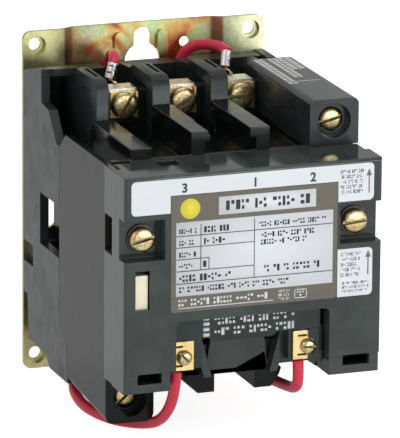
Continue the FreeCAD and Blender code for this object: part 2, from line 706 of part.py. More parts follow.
def make_line_and_load_contacts():
    """Bent brass straps: terminal plate, shelf, leg, and the fixed contact with its silver tip."""
    front = d.terminal_front
    leg_rear = size(34.5)
    leg_front = leg_rear + d.strap
    level = d.contact_level
    for number, pole in enumerate(POLES, start=1):
        for kind, sign in (("line", 1), ("load", -1)):
            outer = d.line_plate_end if sign > 0 else d.load_plate_end
            inner = outer - d.strap * sign
            plate_end = size(38 * sign)
            yoke_end = size(40 * sign)
            # the line leg stands on the left half of the pole and the load leg on the right half
            leg_left, leg_right = (pole - 7.6, pole - 3.4) if sign > 0 else (pole + 3.4, pole + 7.6)
            yoke_left = pole - 7.6 if sign > 0 else pole - d.terminal_half
            yoke_right = pole + d.terminal_half if sign > 0 else pole + 7.6
            left, right = pole - d.terminal_half, pole + d.terminal_half
            plate = box((left, right), depths(front - d.strap, front),
                        (plate_end, outer) if sign > 0 else (outer, plate_end))
            shelf = box((left, right), depths(leg_rear, front),
                        (inner, outer) if sign > 0 else (outer, inner))
            yoke = box((yoke_left, yoke_right), depths(leg_rear, leg_front),
                       (yoke_end, outer) if sign > 0 else (outer, yoke_end))
            leg = box((leg_left, leg_right), depths(leg_rear, leg_front),
                      (level - d.strap, yoke_end) if sign > 0 else (yoke_end, level))
            seat = box((leg_left, leg_right), depths(leg_rear, size(41.6)), (level - d.strap, level))
            tip = rod_up(d.tip_radius, pole - d.tip_offset * sign, d.tip_depth, level - 0.1, tip_top)
            screw_level = d.line_screw_height if sign > 0 else d.load_screw_height
            screw_hole = rod_forward(2.15, pole, screw_level, 38, 44)
            strap = cut(fuse([plate, shelf, yoke, leg, seat, tip]), [screw_hole])
            finish(strap, f"{kind}_terminal_{number}")


def make_terminal_hardware():
    clamp_rear = d.terminal_front
    clamp_front = clamp_rear + 1.0
    head_front = clamp_front + 2.6
    for kind, level, angles in (("line", d.line_screw_height, (58, 28, -3)),
                                ("load", d.load_screw_height, (15, 80, 40))):
        clamps = []
        screws = []
        for pole, angle in zip(POLES, angles):
            rise = (level - 4.6, level + 4.6)
            plate = box((pole - 4.8, pole + 4.8), depths(clamp_rear, clamp_front), rise)
            lip = box((pole + 4.0, pole + 4.8), depths(clamp_rear, clamp_front + 1.4), rise)
            hole = rod_forward(2.15, pole, level, clamp_rear - 1, clamp_front + 1)
            clamps.append(cut(fuse([plate, lip]), [hole, rod_forward(4.95, pole, level, clamp_front, 50)]))
            screws.append(slotted_screw(pole, level, 36.9, clamp_front, head_front,
                                        d.terminal_head, 2.0, angle))
        finish(group(clamps), f"{kind}_terminal_clamps")
        finish(group(screws), f"{kind}_terminal_screws")


def make_casing_screws():
    base_screws = [slotted_screw(x, z, 0.3, d.back_wall_front, 13.2, 3.6, 1.9, 30) for x, z in BASE_SCREWS]
    finish(group(base_screws), "base_screws")
    corner_right = slotted_screw(d.corner_right, d.corner_right_height, 22, 86, 89.2, 4.0, d.big_shank, 14)
    corner_left = slotted_screw(d.corner_left, d.corner_left_height, 22, 85.4, 87.8, 3.9, d.big_shank, 40)
    finish(group([corner_right]), "upper_corner_screw")
    finish(group([corner_left]), "lower_corner_screw")
    screws = []
    washers = []
    for sign, angle in ((-1, 12), (1, 5)):
        place = d.cover_screw * sign
        screws.append(slotted_screw(place, d.cover_screw_height, 82, 109, 111.6, 4.25, d.big_shank, angle))
        ring = rod_forward(5.0, place, d.cover_screw_height, 108.2, 109)
        hole = rod_forward(2.2, place, d.cover_screw_height, 108, 110)
        washers.append(cut(ring, [hole]))
    finish(group(screws), "cover_screws")
    finish(group(washers), "cover_screw_washers")


def make_magnet():
    y = depths(d.stack_rear, d.stack_front)
    half = d.magnet_half
    low = d.yoke_bottom
    yoke = box((-half, half), y, (low, low + d.yoke_high))
    limbs = [box((-half, -half + d.limb_width), y, (low, d.pole_face)),
             box((-d.middle_limb, d.middle_limb), y, (low, d.pole_face)),
             box((half - d.limb_width, half), y, (low, d.pole_face))]
    ring_slots = []
    rings = []
    for sign in (-1, 1):
        inner = (half - d.limb_width) * sign
        outer = half * sign
        middle = inner + 2.4 * sign
        low_x, high_x = sorted((middle, middle + 0.9 * sign), key=lambda edge: edge.value)
        ring_slots.append(box((low_x, high_x), depths(d.stack_rear - 1, d.stack_front + 1),
                              (d.pole_face - 2, d.pole_face + 1)))
        low_o, high_o = sorted((middle, outer + 0.7 * sign), key=lambda edge: edge.value)
        band = box((low_o, high_o), depths(d.stack_rear - 0.9, d.stack_front + 0.9),
                   (d.pole_face - 1.9, d.pole_face - 0.5))
        low_i, high_i = sorted((middle + 0.9 * sign, outer), key=lambda edge: edge.value)
        hole = box((low_i, high_i), y, (d.pole_face - 3, d.pole_face + 1))
        rings.append(cut(band, [hole]))
    finish(cut(fuse([yoke] + limbs), ring_slots), "magnet_core")
    finish(group(rings), "shading_rings")
    cushion = box((-half + 1, half - 1), depths(d.stack_rear + 1, d.stack_front - 1.2),
                  (d.housing_bottom + 2.5, low))
    finish(cushion, "magnet_cushion")
    bar = box((-half, half), y, (armature_bottom, armature_top))
    hump = box((-5, 5), depths(88, 96), (armature_top - 1, 22.5))
    hole = rod_forward(d.pin_radius + 0.05, 0, d.pin_height, 80, 102)
    finish(cut(fuse([bar, hump]), [hole]), "armature")
    finish(rod_forward(d.pin_radius, 0, d.pin_height, 82, 100.3), "armature_pin")


def make_coil():
    coil = body("coil")
    pad(coil, "front", 80, d.flange_rear + 1,
        rectangle(-d.coil_half, d.coil_half, d.coil_bottom, d.coil_top))
    round_edges(coil, 3, [(-d.coil_half, 90, d.coil_top), (d.coil_half, 90, d.coil_top),
                          (-d.coil_half, 90, d.coil_bottom), (d.coil_half, 90, d.coil_bottom)])
    pad(coil, "front", d.flange_rear, d.flange_front,
        rectangle(-d.flange_half, d.flange_half, d.flange_bottom, -3))
    for sign in (-1, 1):
        low, high = sorted((15.5 * sign, 26.7 * sign))
        pad(coil, "front", d.flange_rear, 107.4, rectangle(low, high, -33.4, d.flange_bottom + 1))
        pocket(coil, "front", 103, 108, (d.coil_terminal * sign, d.coil_terminal_height, 1.55))
    # lip over the end of the right terminal plate
    pad(coil, "front", 107.2, 109.3, rectangle(25.8, 27.2, -34.6, d.flange_bottom + 1))
    pad(coil, "front", 108.5, 109.3, rectangle(22.4, 27.2, -34.6, d.flange_bottom + 1))
    pocket(coil, "front", 108.45, 110, (d.coil_terminal, d.coil_terminal_height, 2.85))
    pocket(coil, "top", d.coil_bottom - 1, d.coil_top + 1,
           [(-d.middle_limb - 0.3, d.stack_rear - 0.3), (d.middle_limb + 0.3, d.stack_rear - 0.3),
            (d.middle_limb + 0.3, d.stack_front + 0.3), (-d.middle_limb - 0.3, d.stack_front + 0.3)])
    finish(coil, "coil")
    plates = []
    screws = []
    for sign, angle, edges in ((-1, -48, (-26.2, -18.7)), (1, -4, (16.9, 25.6))):
        place = d.coil_terminal * sign
        level = d.coil_terminal_height
        plate = box(edges, depths(107.4, 108.4), (-33.6, -23.5))
        cuts = [rod_forward(1.6, place, level, 107, 109)]
        for slot_level in (-25.6, -32.3):
            cuts.append(box((place - 3.6, place - 0.4), depths(107, 109), (slot_level, slot_level + 0.7)))
        plates.append(cut(plate, cuts))
        screws.append(slotted_screw(place, level, 104.6, 108.4, 110.3, 2.6, 1.5, angle))
    finish(group(plates), "coil_terminals")
    finish(group(screws), "coil_terminal_screws")


def make_contact_carrier():
    carrier = body("contact_carrier")
    half = d.carrier_half
    low = d.carrier_bottom
    high = d.carrier_top
    # crossbar, then the beam that reaches forward to the armature
    pad(carrier, "front", d.carrier_rear, d.carrier_front, rectangle(-half, half, low, high))
    beam_low = armature_top + 0.3
    pad(carrier, "front", d.carrier_front - 1, 87.5, rectangle(-8, 8, beam_low, 25))
    pad(carrier, "front", 87, 99.5, rectangle(-8, 8, 23, 25))
    pad(carrier, "front", 96.4, 99.5, rectangle(-8, 8, beam_low, 23.5))
    pocket(carrier, "front", 80, 101, (0, d.pin_height, d.pin_radius + 0.05))
    # finger for each pole, with a window in which the bridge and its spring sit
    for pole in POLES:
        pad(carrier, "front", 36.2, d.carrier_rear + 1, rectangle(pole - 2.6, pole + 2.6, 8.3, 22.6))
        pocket(carrier, "side", pole - 3, pole + 3, rectangle(37.4, 41.6, bridge_bottom - 0.05, 21))
    # tab that works the auxiliary plunger
    pad(carrier, "front", d.carrier_rear + 0.5, d.carrier_front - 0.5, rectangle(27, 35, 20.5, high))
    # spring pockets in the underside
    for sign in (-1, 1):
        pocket(carrier, "top", low - 1, low + 4, (25.2 * sign, -(d.carrier_rear + 3), 2.6))
    finish(carrier, "contact_carrier")


def make_indicator():
    """A bar beside the coil that the carrier's arm moves, with a flag behind the cover's slot."""
    rear, front = 94, 97
    flag_front = d.cover_front - d.slot_wall - d.running_gap
    bar = box((-42.2, -40.2), depths(rear, front), (-8.9, d.carrier_top))
    arm = box((-42.2, -8), depths(rear, front), (d.carrier_top - 2.5, d.carrier_top))
    flag = box((-41.3, -36.6), depths(rear, flag_front), (-9.9, 2.1))
    finish(fuse([bar, arm, flag]), "indicator_flag")


def make_bridges_and_springs():
    for number, pole in enumerate(POLES, start=1):
        strip = box((pole - d.bridge_half, pole + d.bridge_half), depths(37.6, 41.2),
                    (bridge_bottom, bridge_top))
        tips = [rod_up(d.tip_radius, pole + d.tip_offset * sign, d.tip_depth,
                       bridge_bottom - d.tip_high, bridge_bottom + 0.2) for sign in (-1, 1)]
        finish(fuse([strip] + tips), f"contact_bridge_{number}")
        finish(spring_up(pole, d.tip_depth + 0.1, bridge_top, 21, 1.4, 6), f"contact_spring_{number}")
    for side, sign in (("left", -1), ("right", 1)):
        finish(spring_up(25.2 * sign, d.carrier_rear + 3, spring_seat, d.carrier_bottom + 4, 2.0, 8),
               f"return_spring_{side}")


def make_auxiliary_block():
    block = body("auxiliary_block")
    inner = d.block_inner
    outer = d.block_outer
    pad(block, "front", d.block_rear, d.housing_front, rectangle(inner, outer, d.block_bottom, d.block_top))
    round_edges(block, 2.2, [(inner, 60, d.block_top), (outer, 60, d.block_top)])
    pocket(block, "front", 34, 84, rectangle(inner + 1.6, outer - 1.6, d.block_bottom - 1, d.block_top - 2))
    # skirt that closes the gap over the deck, beside the rail
    pad(block, "front", d.housing_front - 1.6, d.housing_front,
        rectangle(inner + 2.6, d.half_width - d.shell_wall - 0.2, d.deck_top + 0.1, d.block_bottom + 0.2))
    pocket(block, "front", 88.4, 95, (d.corner_right, d.corner_right_height, 6.1))
    pocket(block, "front", 85.9, 95, (d.corner_right, d.corner_right_height, 4.3))
    pocket(block, "front", 29, 95, (d.corner_right, d.corner_right_height, d.big_shank + 0.15))
    finish(block, "auxiliary_block")
    finish(cut(box((31.0, 34.5), depths(47, 51), (24.1, 47)),
               [box((31.6, 33.9), depths(46, 52), (42.4, 44))]), "auxiliary_plunger")
    arms = box((31.7, 33.8), depths(41.5, 56.5), (42.5, 43.3))
    tips = [rod_up(1.2, 32.75, depth, 41.8, 42.6) for depth in (43, 55)]
    finish(fuse([arms] + tips), "auxiliary_bridge")
    fixed = []
    for rear, front, post_rear, post_front, depth in ((38, 44.4, 38, 38.8, 43), (53.6, 60, 59.2, 60, 55)):
        foot = box((30.9, 34.6), depths(rear, front), (35.4, 36.2))
        post = box((30.9, 34.6), depths(post_rear, post_front), (35.4, 46))
        tip = rod_up(1.2, 32.75, depth, 36.1, 37.1)
        fixed.append(fuse([foot, post, tip]))
    finish(group(fixed), "auxiliary_fixed_contacts")
    finish(spring_up(32.75, 49, 47, 49.5, 1.3, 3), "auxiliary_spring")


# ---- red control wires -----------------------------------------------------------------------
# Each route runs from its coil terminal, under the casings, up a groove behind the base and over
# to a line terminal. Points are (x, depth, z), chosen by hand.

LEFT_ROUTE = [(-24.9, 108.2, -33.9), (-25.2, 107.8, -40.5), (-25.5, 103.0, -48.6), (-26.2, 94.0, -55.6),
              (-29.4, 82.5, -59.2), (-36.0, 70.0, -60.4), (-41.2, 57.0, -58.8), (-40.0, 43.0, -55.6),
              (-31.5, 29.5, -53.6), (-21.5, 17.0, -53.2), (-14.9, 8.2, -52.2), (-14.5, 5.7, -45.0),
              (-14.5, 5.7, -28.0), (-14.6, 5.7, -4.0), (-14.5, 5.7, 20.0), (-14.5, 5.7, 41.0),
              (-14.4, 6.2, 51.6), (-15.8, 11.4, 54.6), (-17.6, 16.4, 52.4)]
RIGHT_ROUTE = [(18.8, 108.2, -33.9), (19.2, 108.0, -40.0), (19.9, 104.2, -45.1), (20.4, 93.0, -47.4),
               (20.3, 76.0, -49.4), (18.9, 60.0, -51.2), (16.4, 44.0, -52.6), (14.0, 28.0, -53.4),
               (12.3, 14.5, -53.2), (12.0, 6.4, -50.4), (12.0, 5.7, -36.0), (12.1, 5.7, -12.0),
               (12.0, 5.7, 12.0), (12.0, 5.7, 36.0), (12.3, 5.8, 49.2), (15.4, 6.2, 54.2),
               (21.2, 6.8, 56.0), (26.6, 7.4, 54.9), (28.4, 9.2, 52.4), (27.3, 12.4, 51.3)]


def spot(point):
    x, depth, z = point
    return FreeCAD.Vector(x, -depth, z)


def route_wire(route):
    """Straight runs joined by tangent arcs as large as the shorter run allows."""
    points = [spot(point) for point in route]
    edges = []
    start = points[0]
    smallest = math.inf
    for before, corner, after in zip(points, points[1:], points[2:]):
        back = before - corner
        ahead = after - corner
        reach = 0.45 * min(back.Length, ahead.Length)
        back.normalize()
        ahead.normalize()
        turn = math.pi - back.getAngle(ahead)
        radius = reach / math.tan(turn / 2)
        smallest = min(smallest, radius)
        entry = corner + back * reach
        leave = corner + ahead * reach
        inward = back + ahead
        inward.normalize()
        middle = corner + inward * (math.hypot(radius, reach) - radius)
        edges.append(Part.LineSegment(start, entry).toShape())
        edges.append(Part.Arc(entry, middle, leave).toShape())
        start = leave
    edges.append(Part.LineSegment(start, points[-1]).toShape())
    return Part.Wire(edges), smallest


def make_wire(name, route, sleeve_length, strand_end):
    """Insulated wire, with a crimped sleeve and bare strands at its upper end."""
    path, smallest = route_wire(route)
    radius = d.wire_radius.value
    heading = spot(route[1]) - spot(route[0])
    section = Part.Wire(Part.makeCircle(radius, spot(route[0]), heading))
    tube = path.makePipeShell([section], True, False)
    expected = math.pi * radius ** 2 * path.Length
    print(f"{name}: length {path.Length:.1f} mm, smallest bend {smallest:.1f} mm, "
          f"volume {tube.Volume / expected:.4f} of section times length")
    item = doc.addObject("Part::Feature", unique("wire"))
    item.Shape = tube
    finish(item, name)
    sleeve_start = spot(route[-1])
    sleeve_axis = sleeve_start - spot(route[-2])
    sleeve_axis.normalize()
    sleeve_end = sleeve_start + sleeve_axis * sleeve_length
    strand_axis = spot(strand_end) - sleeve_end
    sleeve = Part.makeCylinder(1.55, sleeve_length, sleeve_start, sleeve_axis)
    strands = Part.makeCylinder(0.7, strand_axis.Length, sleeve_end, strand_axis)
    sleeve_item = doc.addObject("Part::Feature", unique("sleeve"))
    sleeve_item.Shape = sleeve.fuse(strands).removeSplitter()
    finish(sleeve_item, name + "_ferrule")


def main():
    make_mounting_plate()
    make_rear_base()
    make_contact_housing()
    make_contact_deck()
    make_coil_housing()
    make_front_cover()
    make_labels()
    make_line_and_load_contacts()
    make_terminal_hardware()
    make_casing_screws()
    make_magnet()
    make_coil()
    make_contact_carrier()
    make_indicator()
    make_bridges_and_springs()
    make_auxiliary_block()
    make_wire("left_wire", LEFT_ROUTE, 8.5, (-21.2, 34.0, 49.6))
    make_wire("right_wire", RIGHT_ROUTE, 10.5, (21.2, 34.0, 49.6))
    doc.recompute()
    faults = [item for item in doc.Objects if "Invalid" in item.State or "Error" in item.State]
    if faults:
        raise RuntimeError("failed: " + ", ".join(f"{item.Name} ({item.Label})" for item in faults))
    for item in nodes:
        if item.Shape.isNull() or not item.Shape.isValid():
            raise RuntimeError(f"{item.Label} has no valid shape")
    os.makedirs("parts", exist_ok=True)
    for item in nodes:
        item.Shape.exportStep(os.path.join("parts", item.Label + ".step"))
        print(f"{item.Label}: {len(item.Shape.Solids)} solid(s), {item.Shape.Volume:.0f} mm3")


main()
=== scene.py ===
"""Looks of a panel-mount magnetic contactor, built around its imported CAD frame.

Metres, X to the right, Z up, Y towards the panel. A depth is a distance in front of the panel,
in millimetres, so a depth of 10 is the plane Y = -0.010.
"""
import math
import random

import bmesh
import bpy
from mathutils import Matrix, Vector


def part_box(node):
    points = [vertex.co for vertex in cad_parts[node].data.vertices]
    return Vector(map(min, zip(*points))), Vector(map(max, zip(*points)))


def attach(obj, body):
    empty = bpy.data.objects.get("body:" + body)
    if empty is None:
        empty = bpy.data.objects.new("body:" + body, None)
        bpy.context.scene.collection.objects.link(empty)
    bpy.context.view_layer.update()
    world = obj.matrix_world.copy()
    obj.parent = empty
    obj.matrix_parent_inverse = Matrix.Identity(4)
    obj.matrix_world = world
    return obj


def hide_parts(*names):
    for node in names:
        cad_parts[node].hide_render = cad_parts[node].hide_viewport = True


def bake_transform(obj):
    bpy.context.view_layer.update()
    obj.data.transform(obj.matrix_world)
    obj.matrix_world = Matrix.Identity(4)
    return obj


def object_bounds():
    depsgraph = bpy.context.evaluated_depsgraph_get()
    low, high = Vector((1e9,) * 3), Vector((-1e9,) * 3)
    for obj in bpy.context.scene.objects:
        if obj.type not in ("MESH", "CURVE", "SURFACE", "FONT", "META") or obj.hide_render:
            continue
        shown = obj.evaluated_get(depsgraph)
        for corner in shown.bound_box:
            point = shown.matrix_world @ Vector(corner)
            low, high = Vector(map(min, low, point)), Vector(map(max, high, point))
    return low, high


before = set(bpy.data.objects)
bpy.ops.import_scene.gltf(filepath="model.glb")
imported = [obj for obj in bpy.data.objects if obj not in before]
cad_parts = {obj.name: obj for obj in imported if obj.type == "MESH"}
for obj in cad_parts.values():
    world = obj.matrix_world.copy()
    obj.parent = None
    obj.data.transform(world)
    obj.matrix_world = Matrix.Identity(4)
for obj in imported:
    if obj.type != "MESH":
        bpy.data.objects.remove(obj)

MM = 0.001
cad_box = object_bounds()
materials = {}


def spot(x, depth, z):
    """A point of the frame from millimetres and a depth."""
    return Vector((x * MM, -depth * MM, z * MM))


# ---- node materials --------------------------------------------------------------------------

class Finish:
    """A procedural material while it is being made. Patterns lie in the object's own space."""

    def __init__(self, name, **sockets):
        self.material = bpy.data.materials.new(name)
        self.material.use_nodes = True
        self.tree = self.material.node_tree
        self.shader = self.tree.nodes["Principled BSDF"]
        self.place = self.tree.nodes.new("ShaderNodeTexCoord").outputs["Object"]
        self.relief = None
        for socket, value in sockets.items():
            self.shader.inputs[socket.replace("_", " ")].default_value = value
        materials[name] = self.material

    def link(self, source, target):
        self.tree.links.new(source, target)

    def stretched(self, stretch):
        """Places squeezed along each axis, so that a pattern on them is drawn out."""
        node = self.tree.nodes.new("ShaderNodeMapping")
        node.inputs["Scale"].default_value = stretch
        self.link(self.place, node.inputs["Vector"])
        return node.outputs["Vector"]

    def noise(self, size_mm, detail=3.0, warp=0.0, stretch=(1, 1, 1)):
        """Cloudy values between 0 and 1, with patches of about that size."""
        node = self.tree.nodes.new("ShaderNodeTexNoise")
        node.inputs["Scale"].default_value = 1 / (size_mm * MM)
        node.inputs["Detail"].default_value = detail
        node.inputs["Distortion"].default_value = warp
        self.link(self.stretched(stretch), node.inputs["Vector"])
        return node.outputs["Fac"]

    def cells(self, size_mm):
        """Distance from the nearest of many scattered dots."""
        node = self.tree.nodes.new("ShaderNodeTexVoronoi")
        node.inputs["Scale"].default_value = 1 / (size_mm * MM)
        self.link(self.place, node.inputs["Vector"])
        return node.outputs["Distance"]

    def bands(self, size_mm, axis):
        """Even layers across one axis, such as stacked sheets."""
        node = self.tree.nodes.new("ShaderNodeTexWave")
        node.bands_direction = axis
        node.inputs["Scale"].default_value = 0.314 / (size_mm * MM)
        self.link(self.place, node.inputs["Vector"])
        return node.outputs["Fac"]

    def painted_recess_shade(self, reach_mm):
        """1 in the open and down to 0 in slots and corners: the mask for painted shade in recesses."""
        node = self.tree.nodes.new("ShaderNodeAmbientOcclusion")
        node.samples = 6
        node.inputs["Distance"].default_value = reach_mm * MM
        return self.ramp(node.outputs["AO"], (0.35, 0.0), (0.85, 1.0))

    def across(self, axis, half_mm):
        """From 0 to 1 along one axis, over a length each side of the middle."""
        parts = self.tree.nodes.new("ShaderNodeSeparateXYZ")
        self.link(self.place, parts.inputs[0])
        node = self.tree.nodes.new("ShaderNodeMapRange")
        node.inputs["From Min"].default_value = -half_mm * MM
        node.inputs["From Max"].default_value = half_mm * MM
        self.link(parts.outputs[axis], node.inputs["Value"])
        return node.outputs["Result"]

    def ramp(self, value, *stops):
        """Colours, or greys from single numbers, laid along a value."""
        node = self.tree.nodes.new("ShaderNodeValToRGB")
        elements = node.color_ramp.elements
        while len(elements) < len(stops):
            elements.new(0.5)
        for element, (position, colour) in zip(elements, stops):
            if not isinstance(colour, tuple):
                colour = (colour, colour, colour)
            element.position = position
            element.color = (*colour, 1)
        self.link(value, node.inputs["Fac"])
        return node.outputs["Color"]

    def mix(self, factor, first, second, kind="MIX"):
        node = self.tree.nodes.new("ShaderNodeMix")
        node.data_type = "RGBA"
        node.blend_type = kind
        for socket, value in zip((node.inputs[0], node.inputs[6], node.inputs[7]), (factor, first, second)):
            if isinstance(value, bpy.types.NodeSocket):
                self.link(value, socket)
            elif isinstance(value, tuple):
                socket.default_value = (*value, 1)
            else:
                socket.default_value = value
        return node.outputs[2]

    def colour(self, output):
        self.link(output, self.shader.inputs["Base Color"])

    def roughness(self, output):
        self.link(output, self.shader.inputs["Roughness"])

    def soften(self, radius_mm):
        """Light catches the edges as if they were rounder. Called before any bump."""
        node = self.tree.nodes.new("ShaderNodeBevel")
        node.samples = 4
        node.inputs["Radius"].default_value = radius_mm * MM
        self.relief = node.outputs["Normal"]

    def bump(self, height, depth_mm, strength=1.0):
        node = self.tree.nodes.new("ShaderNodeBump")
        node.inputs["Distance"].default_value = depth_mm * MM
        node.inputs["Strength"].default_value = strength
        self.link(height, node.inputs["Height"])
        if self.relief is not None:
            self.link(self.relief, node.inputs["Normal"])
        self.relief = node.outputs["Normal"]
        self.link(self.relief, self.shader.inputs["Normal"])


def moulding(name, colour, gloss, dusty=0.0, sheen=0.5):
    """Filled phenolic: near black, with a slightly wavy polished skin, faint clouds and dust."""
    finish = Finish(name, IOR=1.5)
    finish.shader.inputs["Specular IOR Level"].default_value = sheen
    dark = tuple(0.75 * part for part in colour)
    pale = tuple(1.30 * part for part in colour)
    body = finish.ramp(finish.noise(9, detail=5), (0.3, dark), (0.72, pale))
    fleck = finish.ramp(finish.noise(0.45, detail=2), (0.68, 0.0), (0.84, 0.22))
    body = finish.mix(fleck, body, tuple(3.0 * part for part in colour))
    haze = finish.ramp(finish.noise(21, detail=6, warp=0.6), (0.40, 0.0), (0.85, dusty))
    finish.colour(finish.mix(haze, body, (0.16, 0.165, 0.15)))
    smear = finish.noise(7, detail=5, warp=0.4)
    finish.soften(0.35)
    finish.roughness(finish.ramp(smear, (0.3, 0.8 * gloss), (0.75, 1.35 * gloss)))
    finish.bump(finish.noise(15, detail=1), 0.05, 0.30)
    finish.bump(finish.noise(0.5, detail=2), 0.010, 0.35)


def chromate():
    """Yellow chromate over zinc on the formed sheet. The film's colour drifts from gold to green,
    pink and red; the two long bends are darkened with painted shade."""
    finish = Finish("chromate_steel", Metallic=1.0)
    film = finish.noise(24, detail=2, warp=1.8, stretch=(1.0, 1.0, 0.8))
    tint = finish.ramp(film, (0.30, (0.22, 0.15, 0.05)), (0.37, (0.56, 0.16, 0.07)),
                       (0.43, (0.70, 0.42, 0.15)), (0.50, (0.74, 0.66, 0.28)), (0.57, (0.60, 0.72, 0.38)),
                       (0.64, (0.70, 0.72, 0.46)), (0.74, (0.72, 0.50, 0.38)))
    along = finish.across("X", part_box("mounting_plate")[1].x / MM)
    # Painted shade: the dark brown and red-brown stops at the two long bends stand for the shade on the bent
    # faces; the other stops are the outer strips' own film colour.
    edge = finish.ramp(along, (0.0, (0.64, 0.60, 0.30)), (0.165, (0.66, 0.66, 0.34)),
                       (0.175, (0.20, 0.14, 0.07)), (0.20, (0.30, 0.18, 0.07)), (0.215, (0.60, 0.52, 0.22)),
                       (0.23, (0.70, 0.62, 0.28)), (0.78, (0.66, 0.56, 0.26)), (0.79, (0.26, 0.10, 0.06)),
                       (0.825, (0.30, 0.13, 0.07)), (0.835, (0.58, 0.62, 0.38)), (1.0, (0.72, 0.70, 0.46)))
    strip_and_bend_mask = finish.ramp(along, (0.205, 0.95), (0.235, 0.25), (0.27, 0.0), (0.76, 0.0), (0.788, 0.95))
    tint = finish.mix(strip_and_bend_mask, tint, edge)
    stain = finish.ramp(finish.noise(1.6, detail=5), (0.35, 0.84), (0.7, 1.05))
    finish.colour(finish.mix(1.0, tint, stain, "MULTIPLY"))
    finish.roughness(finish.ramp(finish.noise(6, detail=5), (0.3, 0.30), (0.7, 0.42)))
    finish.bump(finish.noise(1.1, detail=4), 0.010, 0.4)


def screw_plating():
    """Small chromated steel screws: pale gold with faint pink and green."""
    finish = Finish("screw_plating", Metallic=1.0)
    film = finish.noise(3.2, detail=3, warp=0.8)
    tint = finish.ramp(film, (0.30, (0.60, 0.36, 0.22)), (0.42, (0.74, 0.55, 0.28)),
                       (0.56, (0.76, 0.62, 0.34)), (0.68, (0.60, 0.66, 0.34)), (0.80, (0.72, 0.52, 0.42)))
    grime = finish.ramp(finish.noise(0.9, detail=5), (0.28, 0.45), (0.60, 1.0))
    # Painted shade: slots and other recesses are darkened towards near black by ambient occlusion.
    tint = finish.mix(finish.painted_recess_shade(1.4), (0.03, 0.022, 0.015), tint)
    finish.colour(finish.mix(1.0, tint, grime, "MULTIPLY"))
    finish.roughness(finish.ramp(finish.noise(0.7, detail=4), (0.3, 0.24), (0.7, 0.42)))
    finish.bump(finish.cells(0.16), 0.006, 0.5)


def dark_washer():
    finish = Finish("dark_washer", Metallic=1.0)
    oxide = finish.noise(1.5, detail=5)
    finish.colour(finish.ramp(oxide, (0.3, (0.030, 0.027, 0.024)), (0.7, (0.12, 0.10, 0.08))))
    finish.roughness(finish.ramp(oxide, (0.3, 0.30), (0.7, 0.50)))
    finish.bump(oxide, 0.01, 0.4)


def brass():
    finish = Finish("brass", Metallic=1.0)
    cloud = finish.noise(5, detail=4, warp=0.5)
    finish.colour(finish.ramp(cloud, (0.28, (0.58, 0.38, 0.15)), (0.5, (0.80, 0.58, 0.25)),
                              (0.75, (0.88, 0.72, 0.40))))
    rolled = finish.noise(0.4, detail=4, stretch=(0.06, 1.0, 1.0))
    finish.roughness(finish.ramp(rolled, (0.3, 0.22), (0.7, 0.40)))
    finish.bump(rolled, 0.006, 0.5)


def bright_metal(name, colour, gloss):
    """Tin or nickel plate with rolling marks and a little tarnish."""
    finish = Finish(name, Metallic=1.0)
    tarnish = finish.ramp(finish.noise(4, detail=5), (0.3, 0.74), (0.65, 1.0))
    finish.colour(finish.mix(1.0, colour, tarnish, "MULTIPLY"))
    rolled = finish.noise(0.4, detail=4, stretch=(1.0, 0.08, 1.0))
    finish.roughness(finish.ramp(rolled, (0.3, gloss - 0.05), (0.7, gloss + 0.14)))
    finish.bump(rolled, 0.006, 0.4)


def laminations():
    """Stacked silicon steel sheets, seen as fine lines across the depth."""
    finish = Finish("laminations", Metallic=1.0)
    layers = finish.bands(0.6, "Y")
    steel = finish.ramp(finish.noise(3, detail=5), (0.3, (0.035, 0.034, 0.034)), (0.7, (0.10, 0.10, 0.098)))
    finish.colour(finish.mix(finish.ramp(layers, (0.0, 0.55), (0.25, 0.0)), steel, (0.02, 0.015, 0.012)))
    finish.roughness(finish.ramp(finish.noise(1, detail=3), (0.3, 0.38), (0.7, 0.6)))
    finish.bump(layers, 0.05, 0.6)


def soft_plastic(name, colour, gloss, mottle=0.08):
    """Plain moulded or extruded plastic with slight mottling and a fine skin."""
    finish = Finish(name, IOR=1.5)
    low = tuple((1 - mottle) * part for part in colour)
    high = tuple(min(1, (1 + mottle) * part) for part in colour)
    finish.colour(finish.ramp(finish.noise(4, detail=4), (0.3, low), (0.7, high)))
    finish.roughness(finish.ramp(finish.noise(1.5, detail=4), (0.3, gloss - 0.05), (0.7, gloss + 0.10)))
    finish.bump(finish.noise(0.3, detail=2), 0.012, 0.4)


def paper(name, colour, gloss=0.42):
    """Printed or painted film: a faint cast, tiny specks and an orange-peel skin."""
    finish = Finish(name, IOR=1.48)
    low = tuple(0.95 * part for part in colour)
    cast = finish.ramp(finish.noise(12, detail=4), (0.3, low), (0.7, colour))
    speck = finish.ramp(finish.noise(0.25, detail=1), (0.76, 0.0), (0.84, 0.25))
    finish.colour(finish.mix(speck, cast, tuple(0.6 * part for part in colour)))
    finish.roughness(finish.ramp(finish.noise(3, detail=3), (0.3, gloss - 0.06), (0.7, gloss + 0.08)))
    finish.bump(finish.noise(0.6, detail=2), 0.01, 0.3)


